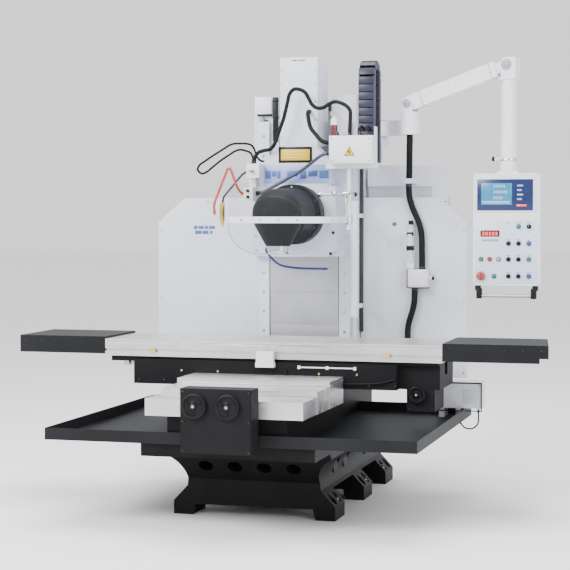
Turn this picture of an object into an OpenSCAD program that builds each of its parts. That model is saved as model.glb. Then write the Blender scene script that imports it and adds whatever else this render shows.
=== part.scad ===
// Bed-type vertical milling machine with a universal head, a cross table and a control pendant.
// Millimetres, +Z up. The origin is the centre of the anchor-bolt rectangle at floor level.
// +X is to the operator's right and +Y is away from the operator.

/* [Bed] */
// Length of the bed casting over its feet
bed_len = 1526; // [1500:2:1560]
// Half width over the feet
foot_half = 467; // [460:1:480]
// Half width at the waist
waist_half = 381; // [370:1:390]
// Half width of the top flange
flange_half = 480; // [475:1:490]
// Height of the upper bed's top face
bed_top = 640; // [638:1:642]
// Height of the hardened slideways above the bed
way_h = 50; // [46:1:50]

/* [Chip tray] */
// Half width of the tray
tray_half = 1023; // [1000:1:1040]
// Height of the tray's rim
rim_h = 64; // [50:1:64]

/* [Table] */
// Length of the table
table_len = 2000; // [1980:5:2000]
// Width of the table
table_w = 500; // [490:1:500]
// Height of the table's top face above the floor
table_top = 953; // [950:1:956]
// Thickness of the table
table_t = 98; // [96:1:100]
// Width of a T-slot's neck
slot_w = 18; // [14:1:22]
// Distance between T-slots
slot_pitch = 80; // [63:1:80]

/* [Column and head] */
// Half width of the column
col_half = 325; // [320:1:326]
// Height of the column posts
col_top = 2267; // [2260:1:2300]
// Half width of the headstock casting
head_half = 240; // [232:1:240]
// Height of the head's swivel centre
pivot_z = 1680; // [1676:1:1684]
// Radius of the head's swivel flange
flange_r = 180; // [170:1:182]
// Radius of the ball where swivel and nose meet
ball_r = 150; // [146:1:152]

/* [Spindle] */
// Radius of the spindle nose
spindle_r = 64.25; // [60:0.25:64.25]
// Pitch circle diameter of the nose screws
nose_pcd = 101.6; // [98:0.1:102]

/* [Pendant] */
// Width of the pendant box
pendant_w = 384; // [370:2:390]
// Height of the pendant box
pendant_h = 646; // [630:2:650]
// Depth of the pendant box
pendant_d = 110; // [90:2:112]
// Plan length of the lifting beam between its two pins
beam_run = 640; // [620:5:650]
// Rise of the lifting beam at rest
beam_rise = 205; // [190:5:215]

/* [Hidden] */
$fn = 48;

// Clearances: across a sliding face, and radially in a running fit
slide_gap = 0.3;
run_gap = 0.05;

// Bed
way_top = bed_top + way_h;
bed_half = 330;
bed_front = -1255;
flange_z = 395;
tray_z = 466;
foot_z = 78;
anchor_x = 435;
anchor_y = 700;
// Each pair of feet: front, back, anchor hole and levelling screw along Y
foot_rows = [[-763, -543, -anchor_y, -600], [-59, 161, 0, 100], [543, 763, anchor_y, 600]];
way_in = 215;
way_out = 320;
y_screw_z = 612;
screw_r = 20;

// Table and saddle
table_y = -205;
table_bottom = table_top - table_t;
saddle_top = table_bottom - 15;
saddle_front = -470;
x_screw_z = 812;

// Column, ways and head
col_front = 345;
col_back = 763;
channel_half = 165;
rail_in = 222;
rail_out = 290;
rail_front = 318;
z_screw_y = 520;
head_front = 150;
head_bottom = 1425;
head_top = 1850;
spindle_y = -265;
neck_front = 30;
nose_z = 1497;
cover_half = 216;

// Guard post on the head
post_x = 349;
post_y = 45;
post_r = 12;

// Pendant arm: pin A on the column, turret pin B, elbow C
pin_a = [425, 560];
pin_b = [660, 330];
arm_yaw = -16;
link_z = 2160;
beam_z = 2345;
elbow = [pin_b[0] + beam_run * cos(arm_yaw), pin_b[1] + beam_run * sin(arm_yaw)];
elbow_z = beam_z + beam_rise;
pendant_top = 1916;
pendant_y = 60;
pend_x = elbow[0] + 4;

// Rows and columns of controls on the pendant's face, from the box's centre line
row_a = 1611;
row_b = 1513;
row_c = 1421;
row_d = 1323;
cols = [-146, -95, -43, 14, 72, 132];

// Routes of hoses and cables. The orange and blue ones are set point by point. The others have
// hand-set corners and bend radii, rounded off and spaced evenly by a helper, so they are not hand-chosen.
panel_route_a = [[634, 415, 1868], [635, 415, 1832], [637, 415, 1797], [644, 415, 1762],
                 [655, 413, 1728], [669, 412, 1695], [684, 411, 1663], [698, 410, 1630],
                 [708, 409, 1596], [715, 409, 1560], [717, 409, 1525], [718, 409, 1489],
                 [718, 409, 1453], [719, 409, 1418], [719, 409, 1382], [720, 409, 1346]];
panel_route_b = [[676, 400, 1238], [675, 400, 1193], [673, 400, 1147], [664, 402, 1103],
                 [651, 404, 1059], [638, 407, 1016], [632, 408, 971], [631, 408, 925], [631, 408, 880]];
tank_route = [[1095, 240, 522], [1095, 240, 505], [1095, 241, 488], [1095, 241, 471], [1095, 241, 454],
              [1091, 242, 438], [1082, 242, 424], [1069, 243, 413], [1054, 243, 406], [1037, 244, 405],
              [1020, 245, 408], [1005, 246, 416], [994, 247, 428], [987, 247, 443], [985, 248, 460]];
arm_route = [[652, 352, 2159], [652, 352, 2139], [652, 352, 2119], [651, 353, 2099],
             [650, 356, 2080], [649, 361, 2061], [647, 368, 2042],
             [645, 378, 2025], [643, 388, 2008], [641, 398, 1992], [639, 408, 1975], [637, 416, 1956],
             [636, 421, 1937], [635, 423, 1918], [634, 425, 1898]];
arch_route = [[-262, 130, 1985], [-256, 124, 2023], [-232, 117, 2053], [-195, 113, 2065],
              [-156, 110, 2073], [-129, 108, 2100], [-115, 108, 2137], [-101, 108, 2174],
              [-87, 108, 2211], [-73, 108, 2248], [-63, 108, 2286], [-53, 108, 2325], [-44, 108, 2363],
              [-34, 108, 2402], [-7, 108, 2429], [32, 108, 2427], [65, 108, 2407], [85, 108, 2373],
              [105, 108, 2338], [136, 107, 2316], [175, 105, 2317], [209, 103, 2336], [246, 99, 2350],
              [284, 93, 2343], [319, 86, 2326], [345, 78, 2298], [350, 71, 2260], [350, 64, 2221],
              [350, 57, 2182], [350, 50, 2143]];
short_route = [[66, 195, 2300], [68, 163, 2297], [73, 136, 2282], [80, 121, 2255], [87, 116, 2225],
               [99, 108, 2196], [118, 98, 2173], [139, 87, 2152], [160, 76, 2130], [185, 67, 2113],
               [216, 61, 2106], [247, 56, 2102]];
slate_route = [[247, 20, 2040], [204, 25, 2037], [167, 37, 2021], [133, 53, 2000], [99, 70, 1978],
               [66, 86, 1956], [30, 97, 1935], [-8, 100, 1915], [-46, 101, 1895], [-84, 102, 1874],
               [-122, 104, 1854], [-160, 102, 1834], [-198, 100, 1814], [-240, 96, 1806]];
loop_route = [[-212, 230, 2000], [-246, 223, 2007], [-265, 204, 2028], [-268, 180, 2054],
              [-271, 156, 2080], [-283, 131, 2101], [-308, 108, 2108], [-338, 88, 2108],
              [-368, 69, 2107], [-398, 56, 2096], [-427, 48, 2077], [-456, 41, 2058], [-486, 34, 2039],
              [-515, 29, 2020], [-544, 26, 2000], [-573, 23, 1980], [-586, 21, 1950], [-561, 24, 1927],
              [-529, 28, 1938], [-502, 32, 1960], [-474, 35, 1982], [-447, 40, 2004], [-420, 51, 2024],
              [-394, 66, 2043], [-368, 80, 2062], [-339, 99, 2071], [-312, 121, 2065],
              [-287, 141, 2052], [-276, 150, 2020], [-276, 150, 1985]];
orange_route = [[-300, 60, 1800], [-316, 20, 1815], [-326, -20, 1850], [-338, -45, 1900], [-352, -58, 1945],
                [-368, -62, 1950], [-388, -66, 1905], [-410, -70, 1850], [-432, -76, 1790], [-448, -82, 1740],
                [-446, -86, 1700]];
blue_route = [[-160, 150, 1480], [-162, 110, 1480], [-160, 60, 1478], [-152, 10, 1470], [-138, -16, 1452],
              [-112, -22, 1425], [-84, -24, 1398], [-48, -24, 1378], [0, -24, 1368], [60, -24, 1362],
              [120, -24, 1360], [180, -24, 1360], [215, -24, 1360]];

// ---- helpers ----

// Block between two corners, given as ranges along each axis
module block(x, y, z) {
    translate([x[0], y[0], z[0]]) cube([x[1] - x[0], y[1] - y[0], z[1] - z[0]]);
}

// Round bars along each axis
module bar_x(x, y, z, r) {
    translate([x[0], y, z]) rotate([0, 90, 0]) cylinder(h = x[1] - x[0], r = r);
}
module bar_y(x, y, z, r) {
    translate([x, y[1], z]) rotate([90, 0, 0]) cylinder(h = y[1] - y[0], r = r);
}
module bar_z(x, y, z, r) {
    translate([x, y, z[0]]) cylinder(h = z[1] - z[0], r = r);
}

// The children and their mirror image across the machine's centre plane
module both_sides() {
    children();
    mirror([1, 0, 0]) children();
}

// A plan or side outline pushed along an axis
module along_y(y) {
    translate([0, y[1], 0]) rotate([90, 0, 0]) linear_extrude(y[1] - y[0]) children();
}
module along_x(x) {
    translate([x[0], 0, 0]) rotate([90, 0, 90]) linear_extrude(x[1] - x[0]) children();
}

// Points of an arc in a plane
function arc(c, r, a0, a1, n = 8) =
    [for (i = [0:n]) [c[0] + r * cos(a0 + (a1 - a0) * i / n), c[1] + r * sin(a0 + (a1 - a0) * i / n)]];

// Round tube swept along a route; ref is any direction that the route never runs along
function unit(v) = v / norm(v);
function heading(p, i) = unit(p[min(i + 1, len(p) - 1)] - p[max(i - 1, 0)]);
function ring(p, i, r, ref, n) =
    let (t = heading(p, i), u = unit(cross(t, ref)), v = cross(t, u))
    [for (k = [0:n - 1]) p[i] + r * (cos(360 * k / n) * u + sin(360 * k / n) * v)];
module tube(p, d, ref, n = 8) {
    last = len(p) - 1;
    points = [for (i = [0:last]) each ring(p, i, d / 2, ref, n)];
    sides = [for (i = [0:last - 1], k = [0:n - 1])
        [i * n + k, (i + 1) * n + k, (i + 1) * n + (k + 1) % n, i * n + (k + 1) % n]];
    start = [[for (k = [0:n - 1]) k]];
    finish = [[for (k = [n - 1:-1:0]) last * n + k]];
    polyhedron(points = points, faces = concat(start, sides, finish));
}

// ---- bed ----

// Front outline of the lower bed casting
module bed_outline() {
    side = concat([[300, 60], [340, 60], [356, 0], [foot_half, 0], [foot_half, foot_z],
                   [waist_half + 4, 165]],
                  arc([waist_half + 150, 215], 150, 180, 115),
                  [[flange_half, 362], [flange_half, tray_z]]);
    left = [for (i = [len(side) - 1:-1:0]) [-side[i][0], side[i][1]]];
    polygon(concat(side, left));
}

// Side outline of the lower bed casting, with the slanted front under the overhang
module bed_side() {
    polygon([[-bed_len / 2, 0], [bed_len / 2, 0], [bed_len / 2, tray_z], [bed_front, tray_z],
             [bed_front, flange_z], [-934, flange_z], [-bed_len / 2, 205]]);
}

// Bed casting with feet, slideways and screw channel
module bed_base() {
    color("#1e1e1e") difference() {
        union() {
            intersection() {
                along_y([bed_front, bed_len / 2]) bed_outline();
                along_x([-500, 500]) bed_side();
            }
            block([-bed_half, bed_half], [bed_front, col_back], [tray_z - 1, bed_top]);
            both_sides() block([way_in, way_out], [bed_front + 5, 290], [bed_top - 1, way_top]);
        }
        // recesses between the feet and the open underside
        both_sides() block([300, 500], [foot_rows[0][1], foot_rows[1][0]], [-1, 150]);
        both_sides() block([300, 500], [foot_rows[1][1], foot_rows[2][0]], [-1, 150]);
        block([-280, 280], [-690, -340], [-1, 340]);
        block([-280, 280], [-310, 250], [-1, 340]);
        block([-280, 280], [280, 700], [-1, 340]);
        // core holes in the slanted front and in the sides
        for (x = [-252, -84, 84, 252])
            translate([x, -839, 290]) rotate([132, 0, 0]) translate([0, 0, -160]) cylinder(h = 220, r = 42);
        for (y = [-440, -200, 330]) bar_x([-500, 500], y, 270, 45);
        // channel for the cross-feed screw
        block([-110, 110], [bed_front + 40, 292], [550, bed_top + 1]);
        // anchor holes, with a spot face, and holes for the levelling screws
        for (row = foot_rows) both_sides() {
            bar_z(anchor_x, row[2], [-1, 200], 13);
            bar_z(anchor_x, row[2], [foot_z - 12, 200], 27);
            bar_z(anchor_x, row[3], [-1, 200], 12.5);
            bar_z(anchor_x, row[3], [foot_z - 12, 200], 27);
        }
    }
}

// Levelling screws with pads, one in each foot
module levelling_screws() {
    color("silver") for (row = foot_rows) both_sides() {
        bar_z(anchor_x, row[3], [0, foot_z + 22], 12);
        translate([anchor_x, row[3], foot_z - 12]) cylinder(h = 16, r = 20, $fn = 6);
    }
}

// Shallow tray round the bed, with a folded rim
module chip_tray() {
    front = -1281;
    rear = 420;
    color("#2e2e2e") difference() {
        block([-tray_half, tray_half], [front, rear], [tray_z, tray_z + rim_h]);
        block([-tray_half + 5, tray_half - 5], [front + 5, rear - 5], [tray_z + 6, tray_z + rim_h + 1]);
        block([-bed_half, bed_half], [bed_front, rear + 1], [tray_z - 1, tray_z + rim_h + 1]);
    }
}

// Box on the bed's front that carries the two electronic handwheels
module front_drive_box() {
    color("#333333") difference() {
        union() {
            difference() {
                block([-188, 196], [-1455, -1325], [447, 785]);
                block([-184, 192], [-1449, -1324], [451, 781]);
            }
            block([-120, 120], [-1329, bed_front], [540, 610]);
            for (x = [-108, 72]) bar_y(x, [-1450, -1400], 696, 22);
        }
        for (x = [-108, 72]) bar_y(x, [-1460, -1390], 696, 10 + run_gap);
    }
}

// Handwheel with a rolled rim, dished web and hub, on a shaft towards +Y
module handwheel(x, y, z, r, shaft_r, shaft_len) {
    translate([x, y, z]) rotate([-90, 0, 0]) {
        rotate_extrude() polygon(concat(
            [[0, -34], [r * 0.22, -34], [r * 0.3, -26], [r * 0.42, -21]],
            arc([r - 9, -20], 9, 190, 530, 12),
            [[r * 0.42, -14], [r * 0.3, -8], [r * 0.3, 0], [0, 0]]));
        translate([0, 0, -3]) cylinder(h = shaft_len + 3, r = shaft_r);
    }
}
module handwheel_left() { color("#151515") handwheel(-108, -1456, 696, 67, 10, 60); }
module handwheel_right() { color("#151515") handwheel(72, -1456, 696, 67, 10, 60); }

// Column casting with two posts, a channel between them and bolted slideways
module column() {
    color("#dcdee6") difference() {
        union() {
            block([-col_half, col_half], [col_front, col_back], [bed_top, col_top]);
            block([-bed_half, bed_half], [300, col_back], [bed_top, bed_top + 90]);
            both_sides() {
                block([240, 272], [rail_front + 14, col_front + 1], [900, 2250]);
                block([rail_in, rail_out], [rail_front, rail_front + 15], [900, 2250]);
                block([170, 322], [col_front, 480], [col_top - 1, 2405]);
            }
            // bracket and pin of the pendant arm, and the chain's fixed bracket
            block([col_half - 1, 472], [512, 608], [2095, link_z - slide_gap]);
            bar_z(pin_a[0], pin_a[1], [link_z - 1, link_z + 96], 20);
            block([col_half - 1, 400], [298, 420], [1995, 2105]);
            block([384, 495], [298, 303], [1995, 2105]);
        }
        block([-channel_half, channel_half], [col_front - 1, 600], [1100, col_top + 1]);
        both_sides() for (z = [760, 1140, 1520, 1900])
            block([185, 305], [col_back - 36, col_back + 1], [z, z + 340]);
        both_sides() for (z = [960:120:2220]) bar_y(256, [rail_front - 1, rail_front + 8], z, 9);
    }
}

// Fixed sheet panels either side of the column, each folded back at its edges
module splash_outline(inset) {
    polygon([[col_half + 7 + inset, 687 + inset], [989 - inset, 687 + inset], [989 - inset, 1629 - inset],
             [813 - inset / 2, 1783 - inset], [col_half + 7 + inset, 1783 - inset]]);
}
module splash_panels() {
    color("#e2e5ec") both_sides() {
        difference() {
            along_y([435, 473]) splash_outline(0);
            along_y([438, 474]) splash_outline(3);
        }
        for (z = [760, 1240, 1690]) block([col_half, col_half + 60], [438, 470], [z, z + 60]);
    }
}

// Electrical cabinet on the column's right, with a recessed band under its top
module cabinet() {
    hinge_x = 756;
    color("#e2e5ec") {
        difference() {
            union() {
                block([350, 747], [545, 1180], [1858, 1982]);
                block([350, 747], [575, 1180], [700, 1859]);
            }
            block([354, 743], [579, 1181], [704, 1978]);
        }
        // front bracket for the pendant's conduit
        block([604, 664], [395, 546], [1868, 1898]);
        // mounting blocks to the column and the equipment plate
        for (z = [820, 1500]) block([col_half, 351], [590, 740], [z, z + 120]);
        block([370, 727], [585, 590], [760, 1900]);
        block([353, 371], [585, 590], [900, 1000]);
        for (z = [860, 1130, 1400, 1640]) block([400, 700], [589, 690], [z, z + 170]);
        // hinge pins
        for (z = [860, 1740]) {
            bar_z(hinge_x, 1192, [z, z + 70], 5);
            block([745, hinge_x + 8], [1150, 1176], [z - 12, z]);
            block([750, hinge_x + 8], [1175, 1198], [z - 12, z]);
        }
    }
}

// Rear door of the cabinet with its knuckles and a turn handle
module cabinet_door() {
    hinge_x = 756;
    color("#dfe2ea") difference() {
        union() {
            block([352, 744], [1180 + slide_gap, 1204], [712, 1970]);
            for (z = [860, 1740]) {
                bar_z(hinge_x, 1192, [z + slide_gap, z + 60], 8);
                block([743, hinge_x], [1186, 1198], [z + slide_gap, z + 60]);
            }
            block([372, 392], [1203, 1222], [1280, 1400]);
        }
        block([356, 740], [1179, 1200], [720, 1962]);
        for (z = [860, 1740]) bar_z(hinge_x, 1192, [z - 1, z + 71], 5 + run_gap);
    }
}

// Vertical-feed gearbox and servo motor on top of the column
module z_drive_unit() {
    color("#3a3c42") {
        difference() {
            block([-80, 80], [478, 760], [col_top, 2300]);
            bar_z(0, z_screw_y, [col_top - 1, 2290], 12);
        }
        block([-62, 62], [620, 744], [2299, 2390]);
        bar_z(0, 682, [2389, 2440], 48);
        block([62, 84], [660, 700], [2330, 2370]);
    }
}

// Ball screws of the cross and vertical feeds, with their bearing housings
module feed_screws() {
    color("#b9bcc2") {
        bar_y(0, [bed_front + 60, 270], y_screw_z, screw_r);
        for (y = [bed_front + 42, 245]) block([-50, 50], [y, y + 40], [550, 655]);
        bar_z(0, z_screw_y, [1140, col_top], 22.5);
        bar_z(0, z_screw_y, [col_top - 1, 2288], 12);
        block([-50, 50], [z_screw_y - 50, z_screw_y + 50], [1100, 1141]);
    }
}

// Vertical tube of the measuring scale beside the right slideway
module scale_housing() {
    color("#eef0f4") {
        bar_z(342, 215, [1063, 1760], 25);
        for (z = [1110, 1660]) block([col_half, 350], [225, 420], [z, z + 24]);
    }
}

// Lubrication unit on the back corner of the tray
module lube_tank() {
    color("#dcdcdc") {
        block([850, 1115], [215, 375], [tray_z + rim_h, 680]);
        for (x = [860, 960]) block([x, x + 30], [225, 365], [tray_z + 6, tray_z + rim_h + 1]);
        bar_z(1095, 240, [522, tray_z + rim_h + 1], 9);
        block([843, 1122], [208, 382], [676, 684]);
        bar_z(900, 300, [683, 704], 22);
    }
    color("#222222") bar_z(985, 248, [tray_z - 6, tray_z], 9);
}
module tank_lead() { color("#202020") tube(tank_route, 9, [0, 1, 0]); }

// Air regulator, filter bowls and valve box on the right panel
module air_unit() {
    color("#e6e8ec") {
        block([636, 760], [370, 435], [1238, 1346]);
        block([628, 672], [395, 435], [1352, 1600]);
        bar_z(650, 382, [1480, 1560], 20);
        bar_z(650, 382, [1400, 1470], 17);
        bar_z(650, 382, [1469, 1481], 12);
        block([634, 666], [380, 400], [1405, 1555]);
        bar_z(650, 405, [1599, 1618], 12);
        bar_x([759, 782], 400, 1293, 11);
        block([634, 666], [400, 430], [1345, 1353]);
        block([608, 654], [385, 435], [846, 880]);
    }
}
module arm_conduit() { color("#161616") tube(arm_route, 40, [1, 0, 0]); }
module panel_conduit() {
    color("#1c1e24") {
        tube(panel_route_a, 38, [1, 0, 0]);
        tube(panel_route_b, 38, [1, 0, 0]);
    }
}

// Fixed sections of the cross-feed cover and of the column cover
module fixed_way_covers() {
    hw = 433;
    color("#d4d4d8") {
        difference() {
            block([-hw, hw], [-1317, -990], [620, 712]);
            block([-hw + 2.5, hw - 2.5], [-1314, -989], [619, 709.5]);
        }
        block([-hw, hw], [-1316, bed_front], [620, 636]);
        block([-cover_half, cover_half], [330, 332], [732, 1140]);
        both_sides() block([190, cover_half], [331, col_front], [780, 900]);
    }
}

// ---- cross slide ----

// Moving sections of the cross-feed cover; each has a lip down to the next one's top
module y_cover(hw, y, top, lip) {
    difference() {
        block([-hw, hw], y, [620, top]);
        block([-hw + 2.5, hw - 2.5], [y[0] - 1, y[1] + 1], [619, top - 2.5]);
    }
    block([-hw, hw], [y[0], y[0] + 3], [lip, top]);
}
module y_cover_rear() { color("#d8d8dc") y_cover(440, [-780, saddle_front], 768, 741); }
module y_cover_mid() { color("#d8d8dc") y_cover(436.7, [-1040, -720], 740, 713); }

// Cross slide with long wings under the table, feed housing and nuts
module saddle() {
    color("#333333") difference() {
        union() {
            block([-815, 745], [saddle_front, 20], [698, saddle_top]);
            block([-440, 440], [saddle_front + 10, 10], [way_top + slide_gap, 699]);
            block([744, 979], [-400, 20], [700, saddle_top]);
            block([790, 950], [-400, -120], [575, 701]);
            block([-965, -814], [-440, 10], [saddle_top - 15, saddle_top]);
            for (y = [[-440, -350], [-70, 10]])
                block([-965, 979], y, [saddle_top - 1, table_bottom - slide_gap]);
            block([-60, 60], [-260, -200], [585, 700]);
        }
        // channel along X for the table screw, with the nut left standing
        difference() {
            block([-966, 980], [-245, -165], [772, saddle_top + 1]);
            block([-45, 45], [-246, -164], [771, saddle_top - 2]);
        }
        bar_x([-50, 50], table_y, x_screw_z, screw_r + run_gap);
        bar_y(0, [-270, -190], y_screw_z, screw_r + run_gap);
        bar_y(850, [-401, -330], 672, 8 + run_gap);
        for (x = [-700, 560]) block([x, x + 140], [-300, 21], [697, 760]);
    }
}

// Manual wheel of the table drive, on the saddle's right
module side_handwheel() { color("#151515") handwheel(850, -401, 672, 50, 8, 60); }

// Limit-switch block on the saddle's front, read by the table's trip dogs
module limit_switch_unit() {
    color("#f0f0f0") {
        block([-66, 42], [-508, saddle_front], [812, 838]);
        block([-62, 38], [-508, -474], [837, 903]);
        bar_x([176, 515], -474, 815, 4);
        for (x = [176, 340, 500]) block([x, x + 16], [-480, saddle_front], [806, 824]);
    }
}

// ---- table ----

// Work table with T-slots, a trip-dog groove and the screw's end brackets
module table() {
    color("#cfcfcf") difference() {
        union() {
            block([-table_len / 2, table_len / 2], [table_y - table_w / 2, table_y + table_w / 2],
                  [table_bottom, table_top]);
            both_sides() block([935, 965], [table_y - 32, table_y + 32], [780, table_bottom + 1]);
        }
        for (i = [-2:2]) {
            y = table_y + i * slot_pitch;
            block([-1001, 1001], [y - slot_w / 2, y + slot_w / 2], [table_top - 30, table_top + 1]);
            block([-1001, 1001], [y - 15, y + 15], [table_top - 44, table_top - 29]);
        }
        block([-1001, 1001], [table_y - table_w / 2 - 1, table_y - table_w / 2 + 12], [882, 896]);
        both_sides() bar_x([934, 966], table_y, x_screw_z, screw_r);
    }
}
module x_screw() {
    color("#b9bcc2") bar_x([-968, 968], table_y, x_screw_z, screw_r);
}

// Folded guards on both ends of the table, open underneath
module end_guards() {
    color("#333333") {
        difference() {
            block([-1541, -1000.3], [-455, 45], [865, 965]);
            block([-1537, -1004], [-451, 41], [864, 961]);
        }
        difference() {
            linear_extrude(965) polygon([[1000.3, -455], [1588, -455], [1523, 45], [1000.3, 45]]);
            translate([0, 0, -1]) linear_extrude(962)
                polygon([[1004, -451], [1583, -451], [1519, 41], [1004, 41]]);
            block([1000, 1589], [-456, 46], [-2, 865]);
            block([1539, 1589], [-456, 46], [864, 892]);
        }
    }
}

// Adjustable trip dogs in the table's front groove
module trip_dogs() {
    color("#c8b46a") for (x = [-702, 691]) {
        block([x - 16, x + 16], [-467, -455], [878, 906]);
        block([x - 10, x + 10], [-456, -444], [883, 895]);
        bar_y(x, [-472, -466], 899, 5);
    }
}

// ---- head ----

// Moving sections of the column cover
module z_cover_top() {
    color("#c9ccd6") {
        block([-cover_half, cover_half], [322, 324], [1204, 1450]);
        block([-cover_half, cover_half], [rail_front - slide_gap, 324], [1428, 1450]);
        block([-cover_half, cover_half], [318, 324], [1204, 1210]);
    }
}
module z_cover_mid() {
    color("#c9ccd6") {
        block([-cover_half, cover_half], [326, 328], [1003, 1335]);
        block([-cover_half, cover_half], [325, 328], [1003, 1009]);
    }
}

// Headstock casting that slides on the column and carries the swivel
module headstock() {
    back = rail_front - slide_gap;
    color("#e4e7ef") difference() {
        union() {
            along_y([head_front, 270]) polygon([[-head_half, 1470], [-195, head_bottom], [195, head_bottom],
                [head_half, 1470], [head_half, head_top], [-head_half, head_top]]);
            block([-312, 312], [262, back], [head_bottom, 1990]);
            both_sides() {
                block([rail_out + slide_gap, 312], [back - 1, col_front - slide_gap], [head_bottom, 1990]);
                block([274, 312], [rail_front + 15 + slide_gap, col_front - slide_gap], [head_bottom, 1990]);
            }
            block([-60, 60], [back - 1, z_screw_y + 55], [1520, 1580]);
            bar_z(0, 284, [head_top - 1, 1900], 84);
        }
        bar_y(0, [head_front - 1, 240], pivot_z, 90 + run_gap);
        bar_z(0, z_screw_y, [1519, 1581], 22.5 + run_gap);
        block([-86, 86], [200, 330], [1899, 1991]);
        for (p = [[226, 1810], [226, 1570], [210, 1445], [-60, 1445], [-226, 1570]])
            bar_y(p[0], [head_front - 1, head_front + 10], p[1], 10);
    }
}

// Sheet cover over the drive at the top of the headstock
module head_cover_outline(inset) {
    polygon([[-212 + inset, head_top - inset], [212 - inset, head_top - inset], [212 - inset, 1992],
             [118 - inset, 2090 - inset], [-118 + inset, 2090 - inset], [-212 + inset, 1992]]);
}
module head_cover() {
    color("#dcdff0") difference() {
        along_y([148, 262]) head_cover_outline(0);
        along_y([151, 263]) head_cover_outline(3);
        block([-209, 209], [151, 263], [head_top - 1, head_top + 10]);
        block([-110, 110], [198, 263], [2080, 2091]);
    }
}

// Tall cover of the spindle motor; it runs in the channel between the column's posts
module motor_cover() {
    color("#e6e9f0") difference() {
        block([-117, 117], [195, 460], [2090, 2628]);
        block([-114, 114], [198, 457], [2089, 2625]);
        for (z = [2300:24:2500]) block([-90, 90], [456, 461], [z, z + 8]);
    }
}
module spindle_motor() {
    color("#40434a") {
        bar_z(0, 290, [1900, 1930], 84);
        bar_z(0, 300, [1929, 2500], 82);
        bar_z(0, 300, [2499, 2560], 70);
    }
}

// Junction box on the head's right, with its arm, the chain's trough and the guard's post
module junction_box() {
    color("#e8e9ec") {
        difference() {
            block([247, 506], [-35, 85], [1980, 2143]);
            block([250, 503], [-31, 82], [1983, 2140]);
        }
        difference() {
            block([212, 500], [26, 160], [1952, 1981]);
            block([388, 491], [90, 150], [1951, 1982]);
        }
        block([212, 312], [150, 262], [1952, 1981]);
        difference() {
            block([384, 495], [84, 154], [1970, 2200]);
            block([388, 491], [83, 150], [1951, 2201]);
        }
    }
    color("#b8bcc4") {
        bar_z(post_x, post_y, [1590, 1953], post_r);
        bar_z(post_x, post_y, [1590, 1604], 20);
    }
}

// Energy chain: a hairpin whose bend rises and falls at half the head's speed
module cable_chain() {
    bend_r = 100;
    bend_y = 196;
    bend_z = 2496;
    thick = 50;
    color("#2a2f52") {
        for (y = [bend_y - bend_r, bend_y + bend_r - thick])
            block([392, 487], [y, y + thick], [1990, bend_z]);
        intersection() {
            difference() {
                bar_x([392, 487], bend_y, bend_z, bend_r);
                bar_x([391, 488], bend_y, bend_z, bend_r - thick);
            }
            block([392, 487], [bend_y - bend_r, bend_y + bend_r], [bend_z - 1, bend_z + bend_r + 1]);
        }
    }
}

// Manifold blocks for coolant on the head's left
module coolant_manifold() {
    color("#f2f2f2") {
        block([-300, -head_half], [30, 230], [1760, 1845]);
        block([-290, -212], [60, 200], [1900, 1985]);
        block([-290, -250], [120, 200], [1844, 1901]);
        block([-250, -head_half], [152, 230], [1844, 1850]);
        for (y = [60, 110]) bar_x([-318, -299], y + 20, 1800, 9);
    }
}

// Segmented coolant hoses with tapered nozzles
module orange_nozzle() {
    color("#e0602a") {
        tube(orange_route, 17, [0.2, 1, 0]);
        translate([-446, -86, 1702]) rotate([180, 0, 0]) cylinder(h = 30, r1 = 11, r2 = 5);
    }
}
module blue_nozzle() {
    color("#2e3a90") {
        tube(blue_route, 15, [0.1, 0.2, 1]);
        translate([213, -24, 1360]) rotate([0, 90, 0]) cylinder(h = 32, r1 = 10, r2 = 4);
    }
}

// Conduits and hoses that ride on the head
module head_hoses() {
    color("#22242c") {
        tube(arch_route, 24, [0, 1, 0.1]);
        tube(short_route, 26, [1, 0.4, 0.2]);
        tube(loop_route, 13, [0.3, 1, 0.4]);
        tube(slate_route, 20, [0, 0.3, 1]);
    }
}

// Plan outline of the guard: forward from the post, across the front and back on the left
module guard_plan(grow) {
    polygon(concat(
        [[post_x + grow, -20]], [[post_x + grow, -430]],
        arc([post_x - 70, -430], 70 + grow, 0, -90, 6), arc([-175, -430], 70 + grow, -90, -180, 6),
        [[-245 - grow, -250], [-245 + 200, -250], [-45, -20]]));
}
module guard_strip(t, z) {
    translate([0, 0, z[0]]) linear_extrude(z[1] - z[0]) difference() {
        guard_plan(t / 2);
        guard_plan(-t / 2);
        translate([-242 + t / 2, -254]) square([post_x + 242 - t, 240]);
    }
}

// Swing-away spindle guard: rail, clear screen and hinge sleeves
module spindle_guard() {
    color("#dfe6ea") difference() {
        union() {
            guard_strip(12, [1638, 1662]);
            intersection() {
                guard_strip(4, [1455, 1860]);
                along_y([-520, 0]) polygon(concat(arc([-45, 1655], 200, 180, 270, 10),
                    arc([150, 1655], 200, 270, 360, 10), [[360, 1860], [-250, 1860]]));
            }
            for (z = [1624, 1760]) bar_z(post_x, post_y, [z, z + 52], 22);
            for (z = [1640, 1776]) block([post_x - 7, post_x + 7], [-30, post_y], [z, z + 20]);
            block([post_x - 6, post_x + 6], [-26, -8], [1640, 1796]);
        }
        for (z = [1624, 1760]) bar_z(post_x, post_y, [z - 1, z + 53], post_r + run_gap);
    }
}

// Moves its children so that local +Z points down the head's 45 degree axis
module at_ball() {
    translate([0, spindle_y, pivot_z]) rotate([135, 0, 0]) children();
}

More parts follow.
